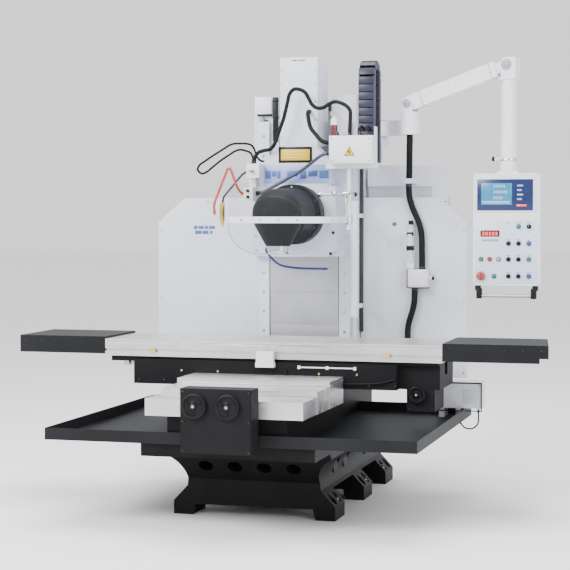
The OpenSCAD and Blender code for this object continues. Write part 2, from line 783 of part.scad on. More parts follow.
// First half of the universal head: it turns about the machine's Y axis
module swivel_body() {
    color("#333333") difference() {
        union() {
            bar_y(0, [neck_front, 147.7], pivot_z, flange_r);
            bar_y(0, [147, head_front - slide_gap], pivot_z, 165);
            translate([0, neck_front + 1, pivot_z]) rotate([90, 0, 0])
                cylinder(h = neck_front + 1 - spindle_y, r1 = 160, r2 = ball_r);
            translate([0, spindle_y, pivot_z]) sphere(r = ball_r);
            bar_y(0, [head_front - 1, 230], pivot_z, 90);
        }
        at_ball() translate([-300, -300, -slide_gap / 2]) cube([600, 600, 400]);
        at_ball() translate([0, 0, -72]) cylinder(h = 80, r = 60 + run_gap);
        bar_x([-200, 200], -90, 1480, 118);
        for (a = [30:60:330]) translate([164 * cos(a), neck_front - 1, pivot_z + 164 * sin(a)])
            rotate([-90, 0, 0]) cylinder(h = 14, r = 9);
    }
}

// Second half of the universal head: it turns about the 45 degree axis and holds the spindle
module nose_body() {
    color("#2f2f2f") difference() {
        union() {
            intersection() {
                union() {
                    translate([0, spindle_y, pivot_z]) sphere(r = ball_r);
                    translate([0, spindle_y, nose_z]) cylinder(h = 110, r1 = 70, r2 = 131);
                }
                at_ball() translate([-300, -300, slide_gap / 2]) cube([600, 600, 400]);
            }
            at_ball() translate([0, 0, -70]) cylinder(h = 80, r = 60);
        }
        bar_z(0, spindle_y, [nose_z - 1, 1505 + slide_gap], spindle_r + run_gap);
        bar_z(0, spindle_y, [1500, 1626], 45 + run_gap);
    }
}

// Spindle with a steep taper, drive keys and four nose screws' holes
module spindle() {
    color("#c8cad0") difference() {
        union() {
            bar_z(0, spindle_y, [1470, 1505], spindle_r);
            bar_z(0, spindle_y, [1504, 1625], 45);
            for (s = [-1, 1]) translate([s * 46 - 11, spindle_y - 12.7, 1462]) cube([22, 25.4, 9]);
        }
        translate([0, spindle_y, 1461]) cylinder(h = 110, r1 = 36.24, r2 = 20.2);
        bar_z(0, spindle_y, [1570, 1626], 12.5);
        for (a = [45:90:315]) translate([nose_pcd / 2 * cos(a), spindle_y + nose_pcd / 2 * sin(a), 1469])
            cylinder(h = 26, r = 7);
    }
}

// ---- pendant arm ----

// First link, which swings on a bracket on the column's right side
module arm_base() {
    len_ab = norm(pin_b - pin_a);
    yaw = atan2(pin_b[1] - pin_a[1], pin_b[0] - pin_a[0]);
    color("#dfe2e8") difference() {
        union() {
            translate([pin_a[0], pin_a[1], link_z]) rotate([0, 0, yaw]) {
                block([0, len_ab], [-45, 45], [0, 90]);
                cylinder(h = 90, r = 52);
                translate([len_ab, 0, 0]) cylinder(h = 90, r = 62);
            }
            bar_z(pin_b[0], pin_b[1], [link_z + 89, link_z + 130], 20);
        }
        bar_z(pin_a[0], pin_a[1], [link_z - 1, link_z + 91], 20 + run_gap);
    }
}

// Turret that swings on the first link and carries the beam's lower pin
module arm_turret() {
    base = link_z + 90 + slide_gap;
    color("#dfe2e8") difference() {
        union() {
            bar_z(pin_b[0], pin_b[1], [base, base + 46], 58);
            translate([pin_b[0], pin_b[1], 0]) rotate([0, 0, arm_yaw]) for (s = [-1, 1])
                translate([0, s * 41, 0]) {
                    translate([-32, -6, base + 45]) cube([64, 12, beam_z - base - 45]);
                    translate([0, 6, beam_z]) rotate([90, 0, 0]) cylinder(h = 12, r = 32);
                }
            translate([pin_b[0], pin_b[1], beam_z]) rotate([0, 0, arm_yaw]) rotate([90, 0, 0])
                translate([0, 0, -48]) cylinder(h = 96, r = 14);
        }
        bar_z(pin_b[0], pin_b[1], [base - 1, link_z + 131], 20 + run_gap);
    }
}

// Lifting beam between the turret and the elbow
module arm_beam() {
    pitch = atan2(beam_rise, beam_run);
    span = norm([beam_run, beam_rise]);
    color("#eceef2") translate([pin_b[0], pin_b[1], beam_z]) rotate([0, 0, arm_yaw]) rotate([0, -pitch, 0])
        difference() {
            union() {
                block([0, span - 75], [-34, 34], [-45, 45]);
                rotate([90, 0, 0]) translate([0, 0, -34]) cylinder(h = 68, r = 45);
                block([span - 80, span], [-20, 20], [-30, 30]);
                translate([span, 20, 0]) rotate([90, 0, 0]) cylinder(h = 40, r = 34);
            }
            rotate([90, 0, 0]) translate([0, 0, -50]) cylinder(h = 100, r = 14 + run_gap);
            translate([span, 30, 0]) rotate([90, 0, 0]) cylinder(h = 60, r = 12 + run_gap);
        }
}

// Elbow head and drop tube; they stay level as the beam lifts
module arm_drop() {
    color("#e6e8ee") {
        translate([elbow[0], elbow[1], elbow_z]) rotate([0, 0, arm_yaw]) {
            for (s = [-1, 1]) translate([0, s * 28, 0]) {
                translate([-34, -6, -80]) cube([90, 12, 80]);
                translate([0, 6, 0]) rotate([90, 0, 0]) cylinder(h = 12, r = 42);
                translate([0, -6, 0]) cube([56, 12, 40]);
            }
            rotate([90, 0, 0]) translate([0, 0, -34]) cylinder(h = 68, r = 12);
            translate([44, -34, -80]) cube([12, 68, 120]);
            translate([-42, -48, -88]) cube([98, 96, 10]);
        }
        difference() {
            bar_z(pend_x, elbow[1], [1990, elbow_z - 80], 46);
            bar_z(pend_x, elbow[1], [1989, 2060], 22 + run_gap);
        }
        bar_x([pend_x - 78, pend_x - 30], elbow[1], 2004, 7);
        translate([pend_x - 86, elbow[1], 2004]) sphere(r = 13);
    }
}

// Pendant box with its swivel socket, display windows and pilot lamps
module pendant_box() {
    hw = pendant_w / 2;
    z0 = pendant_top - pendant_h;
    color("#eef0f5") difference() {
        union() {
            difference() {
                block([pend_x - hw, pend_x + hw], [pendant_y, pendant_y + pendant_d], [z0, pendant_top]);
                block([pend_x - hw + 3, pend_x + hw - 3], [pendant_y + 4, pendant_y + pendant_d - 3],
                      [z0 + 3, pendant_top - 3]);
            }
            bar_z(pend_x, elbow[1], [pendant_top - 4, 1990 - slide_gap], 48);
            bar_z(pend_x, elbow[1], [1980, 2055], 22);
            block([pend_x - 60, pend_x + 60], [pendant_y + 40, elbow[1] + 50],
                  [pendant_top - 4, pendant_top + 16]);
        }
        for (p = button_places()) bar_y(pend_x + p[0], [pendant_y - 1, pendant_y + 5], p[1], p[2] + 0.4);
        block([pend_x - 172, pend_x + 156], [pendant_y - 1, pendant_y + 1.5], [1701, 1886]);
        block([pend_x - 152, pend_x - 36], [pendant_y - 1, pendant_y + 1.5], [1549, 1591]);
    }
    color("#2a4aa0") block([pend_x - 170, pend_x + 154], [pendant_y + 0.5, pendant_y + 4.5], [1703, 1884]);
    color("#301018") block([pend_x - 150, pend_x - 38], [pendant_y + 0.5, pendant_y + 4.5], [1551, 1589]);
    color("#303030") for (p = lamp_places()) bar_y(pend_x + p[0], [pendant_y - 8, pendant_y + 1], p[1], 11);
}

// Stem positions and radii of the moving controls, and positions of the pilot lamps
function button_places() = concat(
    [[cols[0], row_d, 9], [cols[0], row_c, 8], [cols[1], row_c, 8], [cols[5], row_a, 7]],
    [for (r = [row_c, row_d], i = [3:5]) [cols[i], r, 8]]);
function lamp_places() = concat([[cols[4], row_a], [cols[2], row_c], [-69, row_d]],
    [for (i = [3:5]) [cols[i], row_b]]);

// Push button: a cap in front of the face, a stem through it and a collar behind
module push_button(i, z, r = 11, stem = 8, cap = 9) {
    x = pend_x + i;
    bar_y(x, [pendant_y - 5 - cap, pendant_y - 4], z, r);
    bar_y(x, [pendant_y - 5, pendant_y + 12], z, stem);
    bar_y(x, [pendant_y + 4 + slide_gap, pendant_y + 8], z, stem + 3);
}
module e_stop() { color("#c81e28") push_button(cols[0], row_d, 20, 9, 18); }
module start_button() { color("#1f8a4a") push_button(cols[0], row_c); }
module stop_button() { color("#b02a2a") push_button(cols[1], row_c); }
module jog_x_minus() { color("#1c1c1c") push_button(cols[3], row_c); }
module jog_x_plus() { color("#1c1c1c") push_button(cols[4], row_c); }
module jog_rapid() { color("#1f6a7a") push_button(cols[5], row_c); }
module jog_y_minus() { color("#1c1c1c") push_button(cols[3], row_d); }
module jog_y_plus() { color("#1c1c1c") push_button(cols[4], row_d); }
module jog_feed() { color("#24508c") push_button(cols[5], row_d); }
module selector_knob() {
    color("#1c1c1c") {
        bar_y(pend_x + cols[5], [pendant_y - 14, pendant_y - 3], row_a, 11);
        translate([pend_x + cols[5] - 3, pendant_y - 24, row_a - 11]) cube([6, 12, 22]);
        bar_y(pend_x + cols[5], [pendant_y - 4, pendant_y + 12], row_a, 7);
        bar_y(pend_x + cols[5], [pendant_y + 4 + slide_gap, pendant_y + 8], row_a, 10);
    }
}

// Bow handle under the pendant
module pendant_handle() {
    z0 = pendant_top - pendant_h;
    color("#b8bcc2") bar_x([pend_x - 158, pend_x + 158], pendant_y + 20, z0 - 62, 11);
    color("#1a1a1a") for (s = [-1, 1]) {
        translate([pend_x + s * 158 - 14, pendant_y + 4, z0 - 76]) cube([28, 32, 56]);
        translate([pend_x + s * 166 - 14, pendant_y + 8, z0 - 30]) cube([28, 40, 30]);
    }
}

bed_base();
chip_tray();
front_drive_box();
levelling_screws();
column();
splash_panels();
cabinet();
cabinet_door();
z_drive_unit();
feed_screws();
scale_housing();
lube_tank();
air_unit();
panel_conduit();
tank_lead();
fixed_way_covers();
arm_conduit();
saddle();
limit_switch_unit();
side_handwheel();
table();
end_guards();
trip_dogs();
x_screw();
y_cover_rear();
y_cover_mid();
z_cover_top();
z_cover_mid();
headstock();
head_cover();
motor_cover();
spindle_motor();
junction_box();
coolant_manifold();
orange_nozzle();
blue_nozzle();
head_hoses();
cable_chain();
spindle_guard();
swivel_body();
nose_body();
spindle();
handwheel_left();
handwheel_right();
arm_base();
arm_turret();
arm_beam();
arm_drop();
pendant_box();
pendant_handle();
e_stop();
start_button();
stop_button();
jog_x_minus();
jog_x_plus();
jog_rapid();
jog_y_minus();
jog_y_plus();
jog_feed();
selector_knob();
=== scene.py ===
import math
import bmesh
import bpy
from mathutils import Matrix, Vector


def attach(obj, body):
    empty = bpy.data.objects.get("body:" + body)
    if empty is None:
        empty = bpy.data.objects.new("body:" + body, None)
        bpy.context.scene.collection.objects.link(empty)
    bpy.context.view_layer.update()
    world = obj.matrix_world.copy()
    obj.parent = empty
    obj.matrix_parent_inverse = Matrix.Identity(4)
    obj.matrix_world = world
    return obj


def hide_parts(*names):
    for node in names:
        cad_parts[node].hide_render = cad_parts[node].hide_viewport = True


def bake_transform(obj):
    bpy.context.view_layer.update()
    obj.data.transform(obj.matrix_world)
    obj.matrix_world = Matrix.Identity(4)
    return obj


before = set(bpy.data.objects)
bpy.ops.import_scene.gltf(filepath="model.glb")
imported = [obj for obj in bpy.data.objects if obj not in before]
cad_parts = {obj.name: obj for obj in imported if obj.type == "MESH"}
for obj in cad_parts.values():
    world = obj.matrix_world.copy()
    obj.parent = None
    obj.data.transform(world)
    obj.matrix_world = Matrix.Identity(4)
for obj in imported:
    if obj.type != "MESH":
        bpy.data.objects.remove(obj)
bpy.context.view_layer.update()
MM = 0.001

# ---- camera ----
camera = bpy.data.objects.new("camera", bpy.data.cameras.new("camera"))
bpy.context.scene.collection.objects.link(camera)
camera.location = (2.6427, -9.5659, 1.6933)
camera.rotation_euler = (math.radians(87.5), 0, math.radians(15.62))
camera.data.lens = 105.25
camera.data.sensor_width = 36
camera.data.clip_end = 200
bpy.context.scene.camera = camera


# ---- materials ----
def node_setup(name):
    mat = bpy.data.materials.new(name)
    mat.use_nodes = True
    tree = mat.node_tree
    shader = tree.nodes["Principled BSDF"]
    coords = tree.nodes.new("ShaderNodeTexCoord")
    return mat, tree, shader, coords.outputs["Object"]


def noise(tree, coords, scale, detail=4, stretch=None):
    if stretch:
        mapping = tree.nodes.new("ShaderNodeMapping")
        mapping.inputs["Scale"].default_value = stretch
        tree.links.new(coords, mapping.inputs["Vector"])
        coords = mapping.outputs["Vector"]
    node = tree.nodes.new("ShaderNodeTexNoise")
    node.inputs["Scale"].default_value = scale
    node.inputs["Detail"].default_value = detail
    tree.links.new(coords, node.inputs["Vector"])
    return node.outputs["Fac"]


def ramp(tree, factor, low, high, a=0.35, b=0.65):
    node = tree.nodes.new("ShaderNodeValToRGB")
    node.color_ramp.elements[0].position = a
    node.color_ramp.elements[1].position = b
    node.color_ramp.elements[0].color = (*low, 1)
    node.color_ramp.elements[1].color = (*high, 1)
    tree.links.new(factor, node.inputs["Fac"])
    return node.outputs["Color"]


def spread(tree, factor, low, high):
    node = tree.nodes.new("ShaderNodeMapRange")
    node.inputs["From Min"].default_value = 0.3
    node.inputs["From Max"].default_value = 0.7
    node.inputs["To Min"].default_value = low
    node.inputs["To Max"].default_value = high
    tree.links.new(factor, node.inputs["Value"])
    return node.outputs["Result"]


def bump(tree, shader, height, strength, distance):
    node = tree.nodes.new("ShaderNodeBump")
    node.inputs["Strength"].default_value = strength
    node.inputs["Distance"].default_value = distance
    tree.links.new(height, node.inputs["Height"])
    tree.links.new(node.outputs["Normal"], shader.inputs["Normal"])


def shade(color, k):
    return tuple(min(1, c * k) for c in color)


def surface(name, color, rough, metal=0.0, coat=0.0, mottle=0.05, mottle_scale=2.5, grain=700,
            depth=0.0002, strength=0.2, stretch=None, rough_spread=0.08, tint=None, specular=0.5):
    """A painted, cast, plastic or metal surface with colour mottling, varying gloss and a fine grain."""
    mat, tree, shader, coords = node_setup(name)
    large = noise(tree, coords, mottle_scale, 5)
    other = tint or shade(color, 1 - mottle)
    tree.links.new(ramp(tree, large, other, shade(color, 1 + mottle / 2)), shader.inputs["Base Color"])
    fine = noise(tree, coords, grain, 3, stretch)
    tree.links.new(spread(tree, fine, max(0.02, rough - rough_spread), rough + rough_spread),
                   shader.inputs["Roughness"])
    bump(tree, shader, fine, strength, depth)
    shader.inputs["Metallic"].default_value = metal
    shader.inputs["Specular IOR Level"].default_value = specular
    shader.inputs["Coat Weight"].default_value = coat
    shader.inputs["Coat Roughness"].default_value = 0.2
    return mat


def glowing(name, color, power):
    mat, tree, shader, coords = node_setup(name)
    cells = noise(tree, coords, 60, 2)
    tree.links.new(ramp(tree, cells, shade(color, 0.8), color), shader.inputs["Base Color"])
    tree.links.new(ramp(tree, cells, shade(color, 0.7), color), shader.inputs["Emission Color"])
    shader.inputs["Emission Strength"].default_value = power
    shader.inputs["Roughness"].default_value = 0.25
    return mat


def clear(name, color, alpha, rough=0.06):
    mat, tree, shader, coords = node_setup(name)
    haze = noise(tree, coords, 9, 4)
    tree.links.new(ramp(tree, haze, shade(color, 0.9), color), shader.inputs["Base Color"])
    tree.links.new(spread(tree, haze, rough, rough * 2.5), shader.inputs["Roughness"])
    shader.inputs["Alpha"].default_value = alpha
    shader.inputs["IOR"].default_value = 1.58
    return mat


GLOSSY = dict(coat=0.3, mottle=0.1, mottle_scale=40, grain=500)
PRINT = dict(mottle_scale=9, grain=500, strength=0.05)
WHITE = surface("white_enamel", (0.70, 0.715, 0.79), 0.36, coat=0.25, mottle=0.035, grain=520,
                strength=0.12)
ARM_WHITE = surface("white_powder", (0.76, 0.765, 0.80), 0.45, mottle=0.03, grain=1300, depth=0.0004,
                    strength=0.25)
PALE = surface("pale_head_enamel", (0.67, 0.69, 0.80), 0.34, coat=0.3, mottle=0.04, grain=480,
               strength=0.14)
BED = surface("bed_enamel", (0.0045, 0.0045, 0.005), 0.5, mottle=0.35, mottle_scale=6, grain=170,
              depth=0.0012, strength=0.3, specular=0.12)
CHARCOAL = surface("charcoal_enamel", (0.010, 0.010, 0.011), 0.52, mottle=0.18, mottle_scale=4,
                   grain=420, depth=0.0005, strength=0.25, specular=0.08)
TRAY = surface("tray_enamel", (0.0125, 0.013, 0.0145), 0.5, mottle=0.2, mottle_scale=3, grain=260,
               strength=0.2, specular=0.12)
COVER = surface("way_cover_steel", (0.62, 0.62, 0.63), 0.34, metal=0.85, mottle=0.08, mottle_scale=1.5,
                grain=10, stretch=(90, 2, 2), depth=0.0001, strength=0.15, rough_spread=0.1)
Z_COVER = surface("column_cover_steel", (0.44, 0.44, 0.49), 0.36, metal=0.85, mottle=0.12,
                  mottle_scale=4, grain=10, stretch=(2, 2, 90), depth=0.0001, strength=0.15,
                  rough_spread=0.1)
TABLE = surface("ground_table_iron", (0.64, 0.64, 0.64), 0.34, metal=0.75, mottle=0.12, mottle_scale=3,
                grain=12, stretch=(3, 120, 60), depth=0.0001, strength=0.2, rough_spread=0.12)
STEEL = surface("bright_steel", (0.66, 0.66, 0.67), 0.2, metal=1.0, mottle=0.08, mottle_scale=12,
                grain=90, depth=0.0001, strength=0.12)
DARK_STEEL = surface("black_oxide_steel", (0.05, 0.05, 0.055), 0.4, metal=0.8, mottle=0.3,
                     mottle_scale=20, grain=300)
ALU = surface("satin_aluminium", (0.72, 0.73, 0.74), 0.3, metal=0.95, mottle=0.06, mottle_scale=6,
              grain=20, stretch=(1, 60, 60), strength=0.1)
CHAIN = surface("navy_nylon", (0.010, 0.0115, 0.034), 0.44, mottle=0.25, mottle_scale=14, grain=600,
                strength=0.2)
RUBBER = surface("black_jacket", (0.009, 0.009, 0.011), 0.55, mottle=0.25, mottle_scale=18, grain=900,
                 strength=0.25, specular=0.15)
SLATE = surface("slate_jacket", (0.05, 0.055, 0.085), 0.45, mottle=0.2, mottle_scale=18, grain=900,
                strength=0.2)
PHENOLIC = surface("black_phenolic", (0.006, 0.006, 0.007), 0.4, specular=0.15, mottle=0.2,
                   mottle_scale=20, grain=500, strength=0.08)
BRASS = surface("brass", (0.62, 0.44, 0.14), 0.28, metal=1.0, mottle=0.15, mottle_scale=20, grain=200)
YELLOW = surface("yellow_zinc", (0.70, 0.55, 0.20), 0.35, metal=0.6, mottle=0.15, mottle_scale=20,
                 grain=200)
SIGN = surface("yellow_sign", (0.66, 0.42, 0.006), 0.4, mottle=0.06, **PRINT)
BAND = surface("blue_band", (0.30, 0.37, 0.68), 0.35, mottle=0.08, **PRINT)
MARK = surface("blue_mark", (0.06, 0.13, 0.38), 0.35, mottle=0.15, **PRINT)
ORANGE = surface("orange_segments", (0.46, 0.07, 0.03), 0.35, mottle=0.12, mottle_scale=20, grain=500)
BLUE = surface("blue_segments", (0.014, 0.02, 0.15), 0.35, mottle=0.12, mottle_scale=20, grain=500)
MOTOR = surface("motor_enamel", (0.035, 0.038, 0.045), 0.4, mottle=0.2, mottle_scale=8, grain=300,
                depth=0.0004)
RED = surface("red_button", (0.40, 0.006, 0.014), 0.25, strength=0.05, **GLOSSY)
GREEN = surface("green_button", (0.005, 0.24, 0.07), 0.28, **GLOSSY)
TEAL = surface("teal_button", (0.01, 0.13, 0.17), 0.28, **GLOSSY)
BUTTON_BLUE = surface("blue_button", (0.012, 0.06, 0.30), 0.28, **GLOSSY)
BLACK = surface("black_plastic", (0.008, 0.008, 0.009), 0.42, mottle=0.15, mottle_scale=30, grain=600,
                specular=0.2)
GREY = surface("grey_plastic", (0.30, 0.31, 0.34), 0.42, mottle=0.08, mottle_scale=30, grain=600)
FACE = surface("membrane_face", (0.60, 0.66, 0.76), 0.35, mottle=0.04, mottle_scale=10, grain=800,
               strength=0.05)
SCREEN = glowing("screen_blue", (0.007, 0.018, 0.09), 0.12)
READOUT = glowing("readout_cyan", (0.02, 0.20, 0.34), 0.45)
LED_BACK = surface("led_window", (0.05, 0.004, 0.008), 0.15, coat=0.4, mottle=0.2, mottle_scale=30,
                   grain=500)
LED = glowing("led_red", (1.0, 0.05, 0.04), 2.0)
MAROON = surface("maroon_lens", (0.11, 0.008, 0.016), 0.3, coat=0.2, mottle=0.1, mottle_scale=40,
                 grain=500)
CLEAR = clear("clear_polycarbonate", (0.10, 0.12, 0.13), 0.045)
BOWL = clear("filter_bowl", (0.70, 0.78, 0.85), 0.45)


# ---- mesh building, in millimetres ----
AXES = {"x": Vector((1, 0, 0)), "y": Vector((0, 1, 0)), "z": Vector((0, 0, 1))}


class Part:
    """Collects primitives in millimetres and turns them into one piece."""

    def __init__(self):
        self.bm = bmesh.new()
        self.mats = []
        self.index = 0
        self.matrix = Matrix.Identity(4)

    def use(self, mat):
        if mat not in self.mats:
            self.mats.append(mat)
        self.index = self.mats.index(mat)
        return self

    def _merge(self, tmp):
        bmesh.ops.recalc_face_normals(tmp, faces=tmp.faces)
        bmesh.ops.transform(tmp, matrix=self.matrix, verts=tmp.verts)
        for f in tmp.faces:
            f.material_index = self.index
        mesh = bpy.data.meshes.new("tmp")
        tmp.to_mesh(mesh)
        tmp.free()
        self.bm.from_mesh(mesh)
        bpy.data.meshes.remove(mesh)
        return self

    def box(self, x, y, z, bevel=1.0, segments=2):
        tmp = bmesh.new()
        size = Vector((x[1] - x[0], y[1] - y[0], z[1] - z[0]))
        mid = Vector(((x[0] + x[1]) / 2, (y[0] + y[1]) / 2, (z[0] + z[1]) / 2))
        bmesh.ops.create_cube(tmp, size=1, matrix=Matrix.Translation(mid) @ Matrix.Diagonal((*size, 1)))
        if bevel:
            bmesh.ops.bevel(tmp, geom=tmp.edges[:] + tmp.verts[:], offset=min(bevel, 0.45 * min(size)),
                            segments=segments, profile=0.5, affect="EDGES")
        return self._merge(tmp)

    def lathe(self, p, axis, profile, n=32):
        """Revolves (radius, height) pairs about an axis through p."""
        tmp = bmesh.new()
        up = Vector(AXES[axis] if isinstance(axis, str) else axis).normalized()
        side = up.orthogonal().normalized()
        other = up.cross(side)
        rings = []
        for r, h in profile:
            if r <= 1e-6:
                rings.append([tmp.verts.new(Vector(p) + up * h)])
            else:
                rings.append([tmp.verts.new(Vector(p) + up * h + r * (math.cos(2 * math.pi * k / n) * side
                              + math.sin(2 * math.pi * k / n) * other)) for k in range(n)])
        for a, b in zip(rings, rings[1:]):
            for k in range(n):
                quad = [a[k % len(a)], a[(k + 1) % len(a)], b[(k + 1) % len(b)], b[k % len(b)]]
                quad = [v for i, v in enumerate(quad) if v not in quad[:i]]
                if len(quad) > 2:
                    tmp.faces.new(quad)
        for r in (rings[0], rings[-1]):
            if len(r) > 2:
                tmp.faces.new(r)
        return self._merge(tmp)

    def cyl(self, p, axis, length, r, chamfer=0.8, n=28):
        c = min(chamfer, r * 0.3, abs(length) * 0.3)
        s = c if length > 0 else -c
        return self.lathe(p, axis, [(r - c, 0), (r, s), (r, length - s), (r - c, length)], n)

    def hexagon(self, p, axis, length, r):
        return self.cyl(p, axis, length, r, 1.0, 6)

    def socket_screw(self, p, axis, r=6, h=6):
        return self.lathe(p, axis,
                          [(r * 0.45, h * 0.35), (r * 0.5, h), (r * 0.85, h), (r, h * 0.8), (r, 0)], 16)

    def plate(self, points, lo, hi, plane="xz", bevel=0.6):
        """A flat plate from an outline, extruded across its plane from lo to hi."""
        tmp = bmesh.new()
        place = {"xz": lambda u, v, w: (u, w, v),
                 "xy": lambda u, v, w: (u, v, w),
                 "yz": lambda u, v, w: (w, u, v)}[plane]
        verts = [tmp.verts.new(place(u, v, lo)) for u, v in points]
        face = tmp.faces.new(verts)
        out = bmesh.ops.extrude_face_region(tmp, geom=[face])
        moved = [g for g in out["geom"] if isinstance(g, bmesh.types.BMVert)]
        bmesh.ops.translate(tmp, verts=moved, vec=Vector(place(0, 0, hi - lo)) - Vector(place(0, 0, 0)))
        if bevel:
            bmesh.ops.bevel(tmp, geom=tmp.edges[:], offset=bevel, segments=2, profile=0.5, affect="EDGES")
        return self._merge(tmp)

    def wall(self, path, thickness, low, high):
        """A strip that stands along a plan path; low and high give its edges at each point."""
        tmp = bmesh.new()
        rows = []
        for i, p in enumerate(path):
            a, b = Vector(path[max(i - 1, 0)]), Vector(path[min(i + 1, len(path) - 1)])
            t = (b - a).normalized()
            off = Vector((-t.y, t.x)) * thickness / 2
            q = Vector(p)
            lo, hi = low(*p), high(*p)
            rows.append([tmp.verts.new((*(q + off), lo)), tmp.verts.new((*(q - off), lo)),
                         tmp.verts.new((*(q - off), hi)), tmp.verts.new((*(q + off), hi))])
        for a, b in zip(rows, rows[1:]):
            for k in range(4):
                tmp.faces.new([a[k], a[(k + 1) % 4], b[(k + 1) % 4], b[k]])
        tmp.faces.new(rows[0])
        tmp.faces.new(rows[-1])
        return self._merge(tmp)

    def tube(self, points, r, n=12, ends=True):
        """A round tube along points, such as a bent bar."""
        tmp = bmesh.new()
        pts = [Vector(p) for p in points]
        rings = []
        side = None
        for i, p in enumerate(pts):
            t = (pts[min(i + 1, len(pts) - 1)] - pts[max(i - 1, 0)]).normalized()
            side = t.orthogonal().normalized() if side is None else (side - side.dot(t) * t).normalized()
            other = t.cross(side)
            rings.append([tmp.verts.new(p + r * (math.cos(2 * math.pi * k / n) * side
                          + math.sin(2 * math.pi * k / n) * other)) for k in range(n)])
        for a, b in zip(rings, rings[1:]):
            for k in range(n):
                tmp.faces.new([a[k], a[(k + 1) % n], b[(k + 1) % n], b[k]])
        if ends:
            tmp.faces.new(rings[0])
            tmp.faces.new(rings[-1])
        return self._merge(tmp)

    def done(self, name, body, slot, replaces=()):
        mesh = bpy.data.meshes.new(name)
        bmesh.ops.scale(self.bm, vec=(MM, MM, MM), verts=self.bm.verts)
        self.bm.to_mesh(mesh)
        self.bm.free()
        for mat in self.mats:
            mesh.materials.append(mat)
        mesh.shade_smooth()
        mesh.set_sharp_from_angle(angle=math.radians(32))
        obj = bpy.data.objects.new(name, mesh)
        bpy.context.scene.collection.objects.link(obj)
        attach(obj, body)
        if replaces:
            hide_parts(*replaces)
        return obj


def smooth_path(points, steps=6):
    """A Catmull-Rom curve through the points."""
    pts = [Vector(p) for p in points]
    pts = [2 * pts[0] - pts[1]] + pts + [2 * pts[-1] - pts[-2]]
    out = []
    for a, b, c, d in zip(pts, pts[1:], pts[2:], pts[3:]):
        for k in range(steps):
            t = k / steps
            out.append(0.5 * (2 * b + (c - a) * t + (2 * a - 5 * b + 4 * c - d) * t * t
                              + (3 * b - a - 3 * c + d) * t ** 3))
    return out + [pts[-2]]


def path_length(points):
    return sum((b - a).length for a, b in zip(points, points[1:]))



